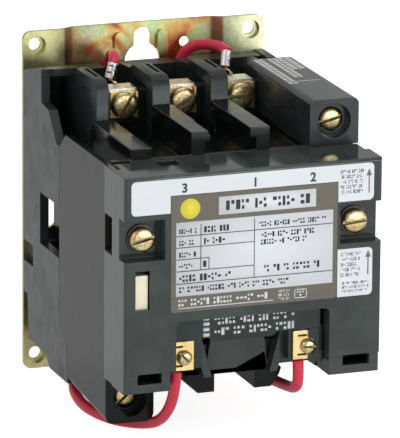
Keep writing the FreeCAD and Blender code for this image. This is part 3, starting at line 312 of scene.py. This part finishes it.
def make_materials():
    # Painted light: these phenolic copies stand for one near-black moulding. gloss_phenolic, on the
    # front-facing cover and coil housing, gets a lighter base colour as painted light, and dark_phenolic, on
    # the side walls, a darker one as painted shade.
    moulding("dark_phenolic", (0.006, 0.008, 0.0073), 0.17, dusty=0.04, sheen=0.18)
    moulding("satin_phenolic", (0.020, 0.025, 0.025), 0.30, dusty=0.04, sheen=0.34)
    moulding("deck_phenolic", (0.005, 0.007, 0.007), 0.13, dusty=0.03)
    moulding("gloss_phenolic", (0.034, 0.043, 0.041), 0.09, dusty=0.03, sheen=0.45)
    moulding("block_phenolic", (0.030, 0.035, 0.036), 0.16, dusty=0.04)
    moulding("coil_moulding", (0.008, 0.018, 0.016), 0.14, dusty=0.03)
    moulding("carrier_plastic", (0.016, 0.016, 0.017), 0.30)
    chromate()
    screw_plating()
    dark_washer()
    brass()
    bright_metal("plated_strap", (0.86, 0.84, 0.78), 0.24)
    bright_metal("tinned_sleeve", (0.90, 0.89, 0.86), 0.20)
    bright_metal("spring_steel", (0.62, 0.62, 0.64), 0.22)
    bright_metal("copper", (0.78, 0.44, 0.29), 0.30)
    laminations()
    soft_plastic("red_pvc", (0.62, 0.022, 0.060), 0.30)
    soft_plastic("cream_plastic", (0.93, 0.86, 0.66), 0.42, mottle=0.03)
    soft_plastic("black_rubber", (0.022, 0.022, 0.022), 0.62)
    paper("white_film", (0.74, 0.76, 0.79))
    paper("taupe_film", (0.125, 0.112, 0.088))
    paper("yellow_film", (0.80, 0.70, 0.06))
    paper("black_ink", (0.030, 0.030, 0.034), 0.5)
    paper("grey_ink", (0.19, 0.15, 0.18), 0.5)
    paper("white_ink", (0.70, 0.70, 0.68), 0.5)


# ---- meshes ----------------------------------------------------------------------------------

def dress(mesh, material):
    """Give a mesh or curve one material and no other."""
    mesh.materials.clear()
    mesh.materials.append(materials[material])


def add_piece(name, mesh, material, body, slot, *nodes):
    """Link a mesh or curve as a piece that rides on a body and stands for CAD nodes."""
    piece = bpy.data.objects.new(name, mesh)
    bpy.context.scene.collection.objects.link(piece)
    dress(mesh, material)
    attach(piece, body)
    if nodes:
        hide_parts(*nodes)
    return piece


def mesh_from(name, work):
    """A clean mesh from a bmesh, smooth shaded."""
    work.verts.index_update()
    mesh = bpy.data.meshes.new(name)
    mesh.from_pydata([vert.co.copy() for vert in work.verts], [],
                     [[vert.index for vert in face.verts] for face in work.faces])
    mesh.shade_smooth()
    work.free()
    return mesh


def ease(piece, width_mm, segments=2, angle=32):
    """Round the sharp edges a little, and keep the flats flat."""
    bevel = piece.modifiers.new("eased edges", "BEVEL")
    bevel.width = width_mm * MM
    bevel.segments = segments
    bevel.limit_method = "ANGLE"
    bevel.angle_limit = math.radians(angle)
    bevel.use_clamp_overlap = True
    bevel.harden_normals = True


def eased_copy(node, material, body, slot, width_mm):
    """The same shape as a CAD node, with eased edges."""
    work = bmesh.new()
    work.from_mesh(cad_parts[node].data)
    bmesh.ops.remove_doubles(work, verts=work.verts, dist=2e-5)
    bmesh.ops.dissolve_limit(work, angle_limit=math.radians(0.6), verts=work.verts, edges=work.edges)
    bmesh.ops.connect_verts_concave(work, faces=work.faces)
    piece = add_piece(node + "_shape", mesh_from(node, work), material, body, slot, node)
    ease(piece, width_mm)


def carried(node, material):
    """A CAD node that is shown as it is, with a new material."""
    dress(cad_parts[node].data, material)


def live_spring(node):
    """A coil spring shown as a fixed copy of its CAD node, in spring steel."""
    piece = bpy.data.objects.new(node + "_coils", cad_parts[node].data.copy())
    bpy.context.scene.collection.objects.link(piece)
    dress(piece.data, "spring_steel")
    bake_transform(piece)
    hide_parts(node)


def lathe(work, profile, centre, axis, steps=48, wobble=None):
    """Turn a profile of (radius, distance) in millimetres about an axis; the ends are closed."""
    turn = Vector((0, 0, 1)).rotation_difference(axis.normalized()).to_matrix()
    rings = []
    for radius, distance in profile:
        ring = []
        for step in range(steps):
            angle = 2 * math.pi * step / steps
            shaped = radius * (wobble(angle, distance) if wobble else 1)
            local = Vector((shaped * math.cos(angle), shaped * math.sin(angle), distance)) * MM
            ring.append(work.verts.new(centre + turn @ local))
        rings.append(ring)
    for lower, upper in zip(rings, rings[1:]):
        for step in range(steps):
            after = (step + 1) % steps
            work.faces.new((lower[step], lower[after], upper[after], upper[step]))
    work.faces.new(list(reversed(rings[0])))
    work.faces.new(rings[-1])


def boxed(work, low, high, turn=None, centre=None):
    """A block between two corners in millimetres, turned about a centre if asked."""
    for vert in bmesh.ops.create_cube(work, size=1.0)["verts"]:
        place = [low[i] + (vert.co[i] + 0.5) * (high[i] - low[i]) for i in range(3)]
        vert.co = Vector(place) * MM
        if turn is not None:
            vert.co = centre + turn @ vert.co


def thread(radius, start, stop):
    """A threaded shank for lathe: its profile, and the wobble that makes the helix."""
    pitch = 0.8
    depth = 0.26
    rings_per_turn = 6
    core = radius - depth
    count = int((stop - start) / pitch * rings_per_turn)
    profile = [(core, start + (stop - start) * i / count) for i in range(count + 1)]

    def flank(angle, distance):
        phase = (distance / pitch - angle / (2 * math.pi)) % 1
        crest = 1 - abs(2 * phase - 1)
        return 1 + depth / core * min(1, 1.6 * crest)

    return profile, flank


# ---- screws ----------------------------------------------------------------------------------

def screw_mesh(name, x, z, rear, seat, front, head_radius, shank_radius, angle):
    """A pan-head screw with a milled slot and a thread. Depths in millimetres."""
    toward = Vector((0, -1, 0))
    dome = 0.45
    edge = 0.55
    threaded_length = 9
    head = [(head_radius - 0.12, seat), (head_radius, seat + 0.12), (head_radius, front - dome - edge),
            (head_radius - 0.16, front - dome - 0.2), (head_radius - edge, front - dome)]
    reach = head_radius - edge
    head += [(reach * math.cos(math.radians(step)), front - dome + dome * math.sin(math.radians(step)))
             for step in (18, 36, 54, 72, 86)]
    work = bmesh.new()
    lathe(work, head, spot(x, 0, z), toward, steps=64)
    solid = add_loose(name + "_head", work)
    slot_half = 0.14 * head_radius
    deep = 0.5 * (front - seat)
    cutter = bmesh.new()
    turn = Matrix.Rotation(math.radians(-angle), 3, "Y")
    boxed(cutter, (-1.3 * head_radius, -1.0, -slot_half), (1.3 * head_radius, deep, slot_half), turn,
          spot(x, front, z))
    blade = add_loose(name + "_cutter", cutter)
    carve = solid.modifiers.new("slot", "BOOLEAN")
    carve.operation = "DIFFERENCE"
    carve.object = blade
    head_mesh = baked(solid)
    shank = bmesh.new()
    plain = min(rear + threaded_length, seat)
    profile, flank = thread(shank_radius, rear, plain)
    lathe(shank, profile, spot(x, 0, z), toward, steps=36, wobble=flank)
    if seat - plain > 0.5:
        lathe(shank, [(shank_radius - 0.05, plain), (shank_radius - 0.05, seat + 0.1)],
              spot(x, 0, z), toward, steps=36)
    shank.from_mesh(head_mesh)
    for item in (solid, blade):
        bpy.data.objects.remove(item)
    return shank


def add_loose(name, work):
    """A helper object that is removed before the end."""
    mesh = mesh_from(name, work)
    item = bpy.data.objects.new(name, mesh)
    bpy.context.scene.collection.objects.link(item)
    return item


def baked(item):
    """The mesh of an object with its modifiers applied."""
    graph = bpy.context.evaluated_depsgraph_get()
    return bpy.data.meshes.new_from_object(item.evaluated_get(graph))


def screw_set(node, sets):
    """Several like screws as one piece that stands for one CAD node."""
    work = bmesh.new()
    for number, spec in enumerate(sets):
        name = f"{node}_{number}"
        work.from_mesh(mesh_from(name, screw_mesh(name, *spec)))
    piece = add_piece(node + "_shape", mesh_from(node, work), "screw_plating", "base", "chromate_screw", node)
    ease(piece, 0.09, angle=40)


def make_screws():
    pole = 21.2
    for node, level, angles in (("line_terminal_screws", 42.7, (58, 28, -3)),
                                ("load_terminal_screws", -43.8, (15, 80, 40))):
        sets = [(x, level, 36.9, 42.9, 45.5, 4.7, 2.0, angle)
                for x, angle in zip((-pole, 0, pole), angles)]
        screw_set(node, sets)
    screw_set("base_screws", [(x, z, 0.3, 11.0, 13.2, 3.6, 1.9, 30)
                              for x in (-pole, pole) for z in (-30, 30)])
    screw_set("upper_corner_screw", [(37.2, 44.0, 22, 86, 89.2, 4.0, 2.0, 14)])
    screw_set("lower_corner_screw", [(-35.7, -47.2, 22, 85.4, 87.8, 3.9, 2.0, 40)])
    screw_set("cover_screws", [(-37.9, 13.8, 82, 109, 111.6, 4.25, 2.0, 12),
                               (37.9, 13.8, 82, 109, 111.6, 4.25, 2.0, 5)])
    screw_set("coil_terminal_screws", [(-22.2, -29, 104.6, 108.4, 110.3, 2.6, 1.5, -48),
                                       (22.2, -29, 104.6, 108.4, 110.3, 2.6, 1.5, -4)])


# ---- red wires -------------------------------------------------------------------------------

WIRE_RADIUS = 1.9
STRAND_RADIUS = 0.27
STRAND_RING = 0.62
LEFT_ROUTE = [(-24.9, 108.2, -33.9), (-25.2, 107.8, -40.5), (-25.5, 103.0, -48.6), (-26.2, 94.0, -55.6),
              (-29.4, 82.5, -59.2), (-36.0, 70.0, -60.4), (-41.2, 57.0, -58.8), (-40.0, 43.0, -55.6),
              (-31.5, 29.5, -53.6), (-21.5, 17.0, -53.2), (-14.9, 8.2, -52.2), (-14.5, 5.7, -45.0),
              (-14.5, 5.7, -28.0), (-14.6, 5.7, -4.0), (-14.5, 5.7, 20.0), (-14.5, 5.7, 41.0),
              (-14.0, 6.0, 49.0), (-14.6, 11.0, 52.8), (-16.3, 18.0, 54.4), (-18.0, 23.2, 54.4),
              (-18.6, 24.6, 52.6)]
RIGHT_ROUTE = [(18.8, 108.2, -33.9), (19.2, 108.0, -40.0), (19.9, 104.2, -45.1), (20.4, 93.0, -47.4),
               (20.3, 76.0, -49.4), (18.9, 60.0, -51.2), (16.4, 44.0, -52.6), (14.0, 28.0, -53.4),
               (12.3, 14.5, -53.2), (12.0, 6.4, -50.4), (12.0, 5.7, -36.0), (12.1, 5.7, -12.0),
               (12.0, 5.7, 12.0), (12.0, 5.7, 36.0), (11.9, 6.2, 45.9), (13.4, 7.8, 51.2),
               (17.4, 11.2, 53.9), (20.8, 16.5, 54.6), (22.5, 22.0, 54.8), (22.8, 24.4, 53.8)]


def curve_piece(name, lines, radius_mm, material, slot, *nodes):
    """Round wire along one or more smooth lines of points."""
    data = bpy.data.curves.new(name, "CURVE")
    data.dimensions = "3D"
    data.bevel_depth = radius_mm * MM
    data.bevel_resolution = 6
    data.resolution_u = 12
    data.use_fill_caps = True
    for line in lines:
        spline = data.splines.new("NURBS")
        spline.points.add(len(line) - 1)
        for point, place in zip(spline.points, line):
            point.co = (*place, 1)
        spline.use_smooth = True
        spline.order_u = 3
        spline.use_endpoint_u = True
    return add_piece(name, data, material, "base", slot, *nodes)


def make_wire(name, route, sleeve_end, sleeve_radius, strand_end):
    """Insulation, a crimped sleeve and bare strands that run down behind the terminal."""
    points = [spot(*place) for place in route]
    curve_piece(name + "_insulation", [points], WIRE_RADIUS, "red_pvc", "red_pvc", name)
    end = spot(*sleeve_end)
    axis = (end - points[-1]).normalized()
    start = points[-1] - axis * 0.4 * MM
    length = (end - start).length / MM

    def crimp(angle, distance):
        bite = math.exp(-((distance - 0.34 * length) / 0.8) ** 2)
        bite += math.exp(-((distance - 0.72 * length) / 0.8) ** 2)
        return 1 - 0.16 * bite * abs(math.cos(angle)) ** 3 - 0.14 * math.exp(-((angle - 4.4) / 0.16) ** 2)

    work = bmesh.new()
    rim = [(sleeve_radius - 0.3, -0.02), (sleeve_radius, 0.12)]
    barrel = [(sleeve_radius, length * step / 24) for step in range(1, 24)]
    tip = [(sleeve_radius, length - 0.2), (sleeve_radius - 0.2, length - 0.02)]
    lathe(work, rim + barrel + tip, start, axis, steps=48, wobble=crimp)
    sleeve = add_piece(name + "_sleeve", mesh_from(name + "_sleeve", work), "tinned_sleeve", "base",
                       "tinned_sleeve", name + "_ferrule")
    for face in sleeve.data.polygons:
        face.use_smooth = len(face.vertices) == 4
    goal = spot(*strand_end)
    side = axis.cross(Vector((0, 0, 1))).normalized()
    up = side.cross(axis).normalized()
    strands = []
    for step in range(7):
        angle = 2 * math.pi * step / 6
        ring = 0.0 if step == 6 else STRAND_RING
        offset = (side * math.cos(angle) + up * math.sin(angle)) * ring * MM
        spread = Vector((math.cos(angle), 0, 0.25 * math.sin(angle))) * ring * 1.2 * MM
        half = (end + goal) / 2 + offset * 1.2 + Vector((0, 0, 0.1 * MM * math.sin(3 * angle)))
        strands.append([end - axis * 0.6 * MM + offset, end + axis * 0.5 * MM + offset, half,
                        goal + spread * 0.6])
    curve_piece(name + "_strands", strands, STRAND_RADIUS, "copper", "copper")


# ---- printed labels --------------------------------------------------------------------------

LABEL_REAR = 113.98
LABEL_FACE = 114.17
PANEL = (LABEL_FACE - 0.02, LABEL_FACE + 0.02)
PRINT = (LABEL_FACE, LABEL_FACE + 0.05)
NUMERAL_DEPTH = LABEL_FACE + 0.02
INK_ROOT = 0.02
INK_RISE = 0.03


def rounded(left, right, low, high, radii=(0, 0, 0, 0)):
    """Corners of a rectangle, rounded: lower left, lower right, upper right, upper left."""
    points = []
    for (x, z, from_angle), radius in zip(((left, low, 180), (right, low, 270), (right, high, 0),
                                           (left, high, 90)), radii):
        if radius == 0:
            points.append((x, z))
            continue
        cx = x + radius if x == left else x - radius
        cz = z + radius if z == low else z - radius
        for step in range(7):
            angle = math.radians(from_angle + 15 * step)
            points.append((cx + radius * math.cos(angle), cz + radius * math.sin(angle)))
    return points


def slab(work, points, rear, front):
    """A flat piece with an outline in X and Z, between two depths."""
    back = [work.verts.new(spot(x, rear, z)) for x, z in points]
    face = [work.verts.new(spot(x, front, z)) for x, z in points]
    count = len(points)
    work.faces.new(face)
    work.faces.new(list(reversed(back)))
    for i in range(count):
        after = (i + 1) % count
        work.faces.new((back[i], back[after], face[after], face[i]))


def bar(work, left, right, low, high, rear, front):
    slab(work, rounded(left, right, low, high), rear, front)


def words(work, rng, left, right, low, tall, rear, front):
    """A line of meaningless dashes, in two rows, with the rhythm of small print."""
    pen = left
    while pen < right:
        for _ in range(rng.randint(2, 6)):
            wide = tall * rng.uniform(0.26, 0.46)
            if pen + wide > right:
                return
            rows = rng.choice(((0.0, 0.36), (0.62, 1.0), (0.0, 1.0), (0.0, 0.36), (0.34, 0.66)))
            bar(work, pen, pen + wide, low + rows[0] * tall, low + rows[1] * tall, rear, front)
            if rows == (0.0, 0.36):
                bar(work, pen, pen + 0.8 * wide, low + 0.66 * tall, low + tall, rear, front)
            pen += wide + 0.17 * tall
        pen += tall * 0.5


def numeral(text, x, z, size, depth):
    """A generic terminal number as a mesh, standing on the label."""
    data = bpy.data.curves.new("numeral", "FONT")
    data.body = text
    data.size = size * MM
    data.extrude = 0.012 * MM
    data.offset = 0.14 * MM
    data.align_x = "CENTER"
    item = bpy.data.objects.new("numeral", data)
    bpy.context.scene.collection.objects.link(item)
    mesh = baked(item)
    mesh.transform(Matrix.Translation(spot(x, depth, z)) @ Matrix.Rotation(math.radians(90), 4, "X"))
    bpy.data.objects.remove(item)
    return mesh


def arrow(work, x, low, high, rear, front):
    bar(work, x - 0.2, x + 0.2, low, high - 2.2, rear, front)
    slab(work, [(x - 1.0, high - 2.4), (x + 1.0, high - 2.4), (x, high)], rear, front)


def label_sheet(name, outline, material, slot, node):
    """A thin printed sheet stuck on the cover."""
    work = bmesh.new()
    slab(work, outline, LABEL_REAR, LABEL_FACE)
    ease(add_piece(name, mesh_from(name, work), material, "base", slot, node), 0.04, 1)


def printed(name, work, material):
    """Ink or film on a label; it stands for no CAD node."""
    add_piece(name, mesh_from(name, work), material, "base", "white_label")


def make_sheets():
    label_sheet("nameplate_sheet", rounded(-29.1, 30.1, -11.3, 28.9, (1.2, 1.2, 0, 0)), "taupe_film",
                "nameplate_foil", "rating_nameplate")
    left_ear = rounded(-43.1, -29.3, 23.1, 29.1, (1.6, 0, 0, 0))
    right_ear = rounded(30.3, 43.1, 21.9, 29.1, (0, 1.6, 0, 0))
    strip = rounded(-43.1, 43.1, 29.1, 34.8, (0, 0, 1.6, 1.6))
    band = left_ear[:-2] + [(-29.3, 29.1), (30.3, 29.1)] + right_ear[:-2] + strip[2:]
    label_sheet("terminal_band", band, "white_film", "white_label", "terminal_label")
    label_sheet("coil_notice", rounded(30.3, 42.9, -11.2, 5.4, (0, 1.6, 1.6, 0)), "white_film",
                "white_label", "coil_notice_label")


def make_nameplate_white(rng):
    """White panels of the nameplate, and the white print on its dark foot."""
    panels = bmesh.new()
    bar(panels, -27.3, 28.5, -5.85, 19.65, *PANEL)
    bar(panels, -12.3, 22.3, 21.2, 27.4, *PANEL)
    white = bmesh.new()
    white.from_mesh(mesh_from("panels", panels))
    words(white, rng, -26.4, 7.0, -9.3, 2.3, *PANEL)
    bar(white, -26.4, 7.4, -10.2, -9.9, *PANEL)
    for row in range(3):
        words(white, rng, 9.2, 13.4, -7.6 - 1.35 * row, 0.9, *PANEL)
    for left, right, low, high in ((14.9, 19.4, -7.3, -7.0), (14.9, 19.4, -10.2, -9.9),
                                   (14.9, 15.2, -10.2, -7.0), (19.1, 19.4, -10.2, -7.0)):
        bar(white, left, right, low, high, *PANEL)
    words(white, rng, 15.8, 18.6, -9.4, 1.7, *PANEL)
    printed("nameplate_white", white, "white_film")


def make_mark():
    """A plain round mark."""
    radius = 3.5
    angles = [math.radians(step) for step in range(0, 360, 10)]
    mark = bmesh.new()
    slab(mark, [(-22.4 + radius * math.cos(a), 24.2 + radius * math.sin(a)) for a in angles], *PANEL)
    printed("nameplate_mark", mark, "yellow_film")


def make_nameplate_print(rng):
    """Black rules, dashes and the three pole numbers."""
    black = bmesh.new()
    rule = 0.27
    for left, right, level in ((-27.2, 0.3, 14.9), (-27.2, 0.3, 10.95), (-27.2, -18.6, 6.85),
                               (-27.2, 0.4, 2.75), (-27.2, 28.4, -1.55), (0.3, 28.4, 14.9)):
        bar(black, left, right, level - rule / 2, level + rule / 2, *PRINT)
    for x, low, high in ((-18.6, 2.75, 18.6), (0.4, -1.55, 19.2), (-15.7, 2.75, 7.0)):
        bar(black, x - rule / 2, x + rule / 2, low, high, *PRINT)
    bar(black, -18.6, -15.7, 6.85 - rule / 2, 6.85 + rule / 2, *PRINT)
    for row, level in enumerate((15.7, 11.7, 7.6, 3.6)):
        words(black, rng, -26.3, -20.0 - row % 2, level, 1.7, *PRINT)
    words(black, rng, -17.5, -8.5, 15.6, 2.1, *PRINT)
    words(black, rng, -17.5, -8.0, 11.6, 2.1, *PRINT)
    bar(black, -17.8, -16.6, 3.7, 5.8, *PRINT)
    for left, right, low, tall in ((-26.1, -7.5, -0.9, 2.3), (-26.2, 14.4, -4.6, 1.9), (2.1, 26.0, 15.9, 1.7),
                                   (3.0, 21.8, 12.1, 1.8), (2.7, 19.2, 9.6, 1.8), (4.0, 23.8, 0.1, 2.3),
                                   (-9.8, 20.4, 22.6, 3.3)):
        words(black, rng, left, right, low, tall, *PRINT)
    for text, x in (("3", -24.4), ("1", 0.6), ("2", 21.2)):
        black.from_mesh(numeral(text, x, 30.0, 4.3, NUMERAL_DEPTH))
    printed("label_print", black, "black_ink")


def make_notice_print(rng):
    """Grey lines and arrows on the white ears."""
    grey = bmesh.new()
    for row in range(5):
        words(grey, rng, 30.9 + 0.5 * (row % 3), 40.0 - 0.8 * (row % 2), 31.7 - 1.75 * row, 1.15, *PRINT)
        words(grey, rng, 31.4 + 0.6 * (row % 2), 39.0 - 0.6 * (row % 3), 3.0 - 1.8 * row, 1.15, *PRINT)
    for row in range(3):
        words(grey, rng, 32.0, 42.0, -7.0 - 1.4 * row, 0.9, *PRINT)
    arrow(grey, 41.3, 24.4, 32.8, *PRINT)
    arrow(grey, 41.3, -4.0, 4.4, *PRINT)
    printed("notice_print", grey, "grey_ink")


def make_coil_print(rng):
    """Two lines and four short marks on the coil's front band."""
    face = -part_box("coil")[0].y / MM
    depths = (face - INK_ROOT, face + INK_RISE)
    ink = bmesh.new()
    words(ink, rng, -11.8, 17.5, -22.0, 2.6, *depths)
    words(ink, rng, -11.8, 17.5, -18.2, 2.6, *depths)
    for step in range(4):
        bar(ink, -15.8, -13.6, -22.1 + 1.9 * step, -20.9 + 1.9 * step, *depths)
    printed("coil_print", ink, "white_ink")


def make_block_print(rng):
    """Three double rows of blocks on top of the auxiliary block, from back to front."""
    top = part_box("auxiliary_block")[1].z / MM
    low, high = top - INK_ROOT, top + INK_RISE
    ink = bmesh.new()
    for row, (tall, start, stop) in enumerate(((4.6, 31, 47), (3.2, 31, 58), (3.2, 31, 66))):
        edge = 43.6 - 5.0 * row
        pen = start
        while pen < stop:
            wide = rng.uniform(1.6, 2.4)
            for side in (0.0, 0.56):
                boxed(ink, (edge - tall * (side + 0.44), -pen - wide, low), (edge - tall * side, -pen, high))
            pen += wide + 0.7
    boxed(ink, (30.4, -64.6, low), (42.6, -64.1, high))
    printed("block_print", ink, "white_ink")


def make_labels():
    rng = random.Random(8)
    make_sheets()
    make_nameplate_white(rng)
    make_mark()
    make_nameplate_print(rng)
    make_notice_print(rng)
    make_coil_print(rng)
    make_block_print(rng)


# ---- casings and metalwork -------------------------------------------------------------------

def make_casings():
    eased_copy("mounting_plate", "chromate_steel", "base", "chromate_steel", 0.22)
    eased_copy("rear_base", "satin_phenolic", "base", "dark_phenolic", 0.22)
    eased_copy("contact_housing", "dark_phenolic", "base", "dark_phenolic", 0.22)
    eased_copy("contact_deck", "deck_phenolic", "base", "dark_phenolic", 0.22)
    eased_copy("coil_housing", "gloss_phenolic", "base", "dark_phenolic", 0.20)
    eased_copy("front_cover", "gloss_phenolic", "base", "gloss_phenolic", 0.22)
    eased_copy("auxiliary_block", "block_phenolic", "base", "dark_phenolic", 0.25)
    eased_copy("coil", "coil_moulding", "base", "coil_moulding", 0.25)
    eased_copy("contact_carrier", "carrier_plastic", "carrier", "carrier_plastic", 0.2)
    eased_copy("indicator_flag", "cream_plastic", "carrier", "cream_plastic", 0.25)


def make_metalwork():
    for number in (1, 2, 3):
        eased_copy(f"line_terminal_{number}", "plated_strap", "base", "brass", 0.12)
        eased_copy(f"load_terminal_{number}", "plated_strap", "base", "brass", 0.12)
        eased_copy(f"contact_bridge_{number}", "brass", f"bridge_{number}", "brass", 0.1)
        live_spring(f"contact_spring_{number}")
    eased_copy("line_terminal_clamps", "brass", "base", "plated_clamp", 0.15)
    eased_copy("load_terminal_clamps", "brass", "base", "plated_clamp", 0.15)
    eased_copy("coil_terminals", "brass", "base", "brass", 0.1)
    eased_copy("cover_screw_washers", "dark_washer", "base", "chromate_screw", 0.1)
    eased_copy("armature", "laminations", "carrier", "lamination_steel", 0.15)
    eased_copy("magnet_core", "laminations", "base", "lamination_steel", 0.15)
    carried("shading_rings", "copper")
    carried("magnet_cushion", "black_rubber")
    carried("armature_pin", "spring_steel")
    live_spring("return_spring_left")
    live_spring("return_spring_right")
    live_spring("auxiliary_spring")
    carried("auxiliary_plunger", "carrier_plastic")
    carried("auxiliary_bridge", "brass")
    carried("auxiliary_fixed_contacts", "brass")


# ---- stage -----------------------------------------------------------------------------------

def make_camera():
    azimuth = math.radians(19.98)
    elevation = math.radians(15.28)
    roll = math.radians(0.43)
    aim = spot(1.27, 58.5, 4.18)
    distance = 1.937
    forward = Vector((math.sin(azimuth) * math.cos(elevation), math.cos(azimuth) * math.cos(elevation),
                      -math.sin(elevation)))
    right = Vector((math.cos(azimuth), -math.sin(azimuth), 0))
    up = right.cross(forward)
    right, up = (math.cos(roll) * right + math.sin(roll) * up,
                 -math.sin(roll) * right + math.cos(roll) * up)
    data = bpy.data.cameras.new("camera")
    data.sensor_width = 36
    data.lens = 464
    data.clip_start = 0.1
    data.clip_end = 20
    camera = bpy.data.objects.new("camera", data)
    bpy.context.scene.collection.objects.link(camera)
    turn = Matrix((right, up, -forward)).transposed().to_4x4()
    camera.matrix_world = Matrix.Translation(aim - forward * distance) @ turn
    bpy.context.scene.camera = camera


def softbox(name, place, target, size, watts, tint=(1, 1, 1)):
    data = bpy.data.lights.new(name, "AREA")
    data.shape = "RECTANGLE"
    data.size, data.size_y = size
    data.energy = watts
    data.color = tint
    item = bpy.data.objects.new(name, data)
    bpy.context.scene.collection.objects.link(item)
    item.location = place
    item.rotation_euler = (Vector(target) - Vector(place)).to_track_quat("-Z", "Y").to_euler()


def make_light():
    world = bpy.data.worlds.new("studio")
    bpy.context.scene.world = world
    world.use_nodes = True
    nodes, links = world.node_tree.nodes, world.node_tree.links
    background = nodes["Background"]
    direction = nodes.new("ShaderNodeTexCoord").outputs["Generated"]
    parts = nodes.new("ShaderNodeSeparateXYZ")
    links.new(direction, parts.inputs[0])
    height = nodes.new("ShaderNodeMapRange")
    height.inputs["From Min"].default_value = -1
    links.new(parts.outputs["Z"], height.inputs["Value"])
    ramp = nodes.new("ShaderNodeValToRGB")
    ramp.color_ramp.elements[0].color = (0.3, 0.3, 0.3, 1)
    ramp.color_ramp.elements[1].color = (0.45, 0.45, 0.45, 1)
    horizon = ramp.color_ramp.elements.new(0.56)
    horizon.color = (0.52, 0.52, 0.52, 1)
    links.new(height.outputs["Result"], ramp.inputs["Fac"])
    seen = nodes.new("ShaderNodeMix")
    seen.data_type = "RGBA"
    links.new(nodes.new("ShaderNodeLightPath").outputs["Is Camera Ray"], seen.inputs[0])
    links.new(ramp.outputs["Color"], seen.inputs[6])
    seen.inputs[7].default_value = (1, 1, 1, 1)
    links.new(seen.outputs[2], background.inputs["Color"])
    target = (0, -0.05, 0)
    softbox("key_left", (-0.75, -0.55, 0.45), target, (0.5, 0.6), 1.0, (1.0, 1.0, 0.98))
    softbox("top", (0.0, -0.15, 0.85), target, (0.7, 0.5), 2.0)
    softbox("fill_right", (0.8, -0.5, 0.2), target, (0.4, 0.6), 0.8, (1.0, 0.93, 0.94))
    softbox("front", (0.42, -1.15, 0.05), target, (0.7, 0.3), 4.4, (0.95, 1.0, 1.0))
    bpy.context.scene.view_settings.view_transform = "Standard"


def make_floor():
    finish = Finish("pale_floor", Roughness=0.8)
    finish.colour(finish.ramp(finish.noise(60, detail=4), (0.3, 0.86), (0.7, 0.90)))
    finish.shader.inputs["Emission Color"].default_value = (1, 1, 1, 1)
    seen = finish.tree.nodes.new("ShaderNodeMapRange")
    seen.inputs["To Min"].default_value = 0.22
    seen.inputs["To Max"].default_value = 0.85
    finish.link(finish.tree.nodes.new("ShaderNodeLightPath").outputs["Is Camera Ray"], seen.inputs["Value"])
    finish.link(seen.outputs["Result"], finish.shader.inputs["Emission Strength"])
    work = bmesh.new()
    bmesh.ops.create_grid(work, x_segments=1, y_segments=1, size=4)
    mesh = mesh_from("floor", work)
    mesh.materials.append(finish.material)
    floor = bpy.data.objects.new("floor", mesh)
    floor.location.z = cad_box[0].z - 0.2 * MM
    bpy.context.scene.collection.objects.link(floor)


make_materials()
make_camera()
make_wire("left_wire", LEFT_ROUTE, (-20.3, 25.6, 47.6), 2.0, (-21.6, 34.6, 48.6))
make_wire("right_wire", RIGHT_ROUTE, (21.6, 26.6, 48.9), 1.7, (21.0, 34.6, 48.6))
make_casings()
make_metalwork()
make_screws()
make_labels()
make_light()
make_floor()
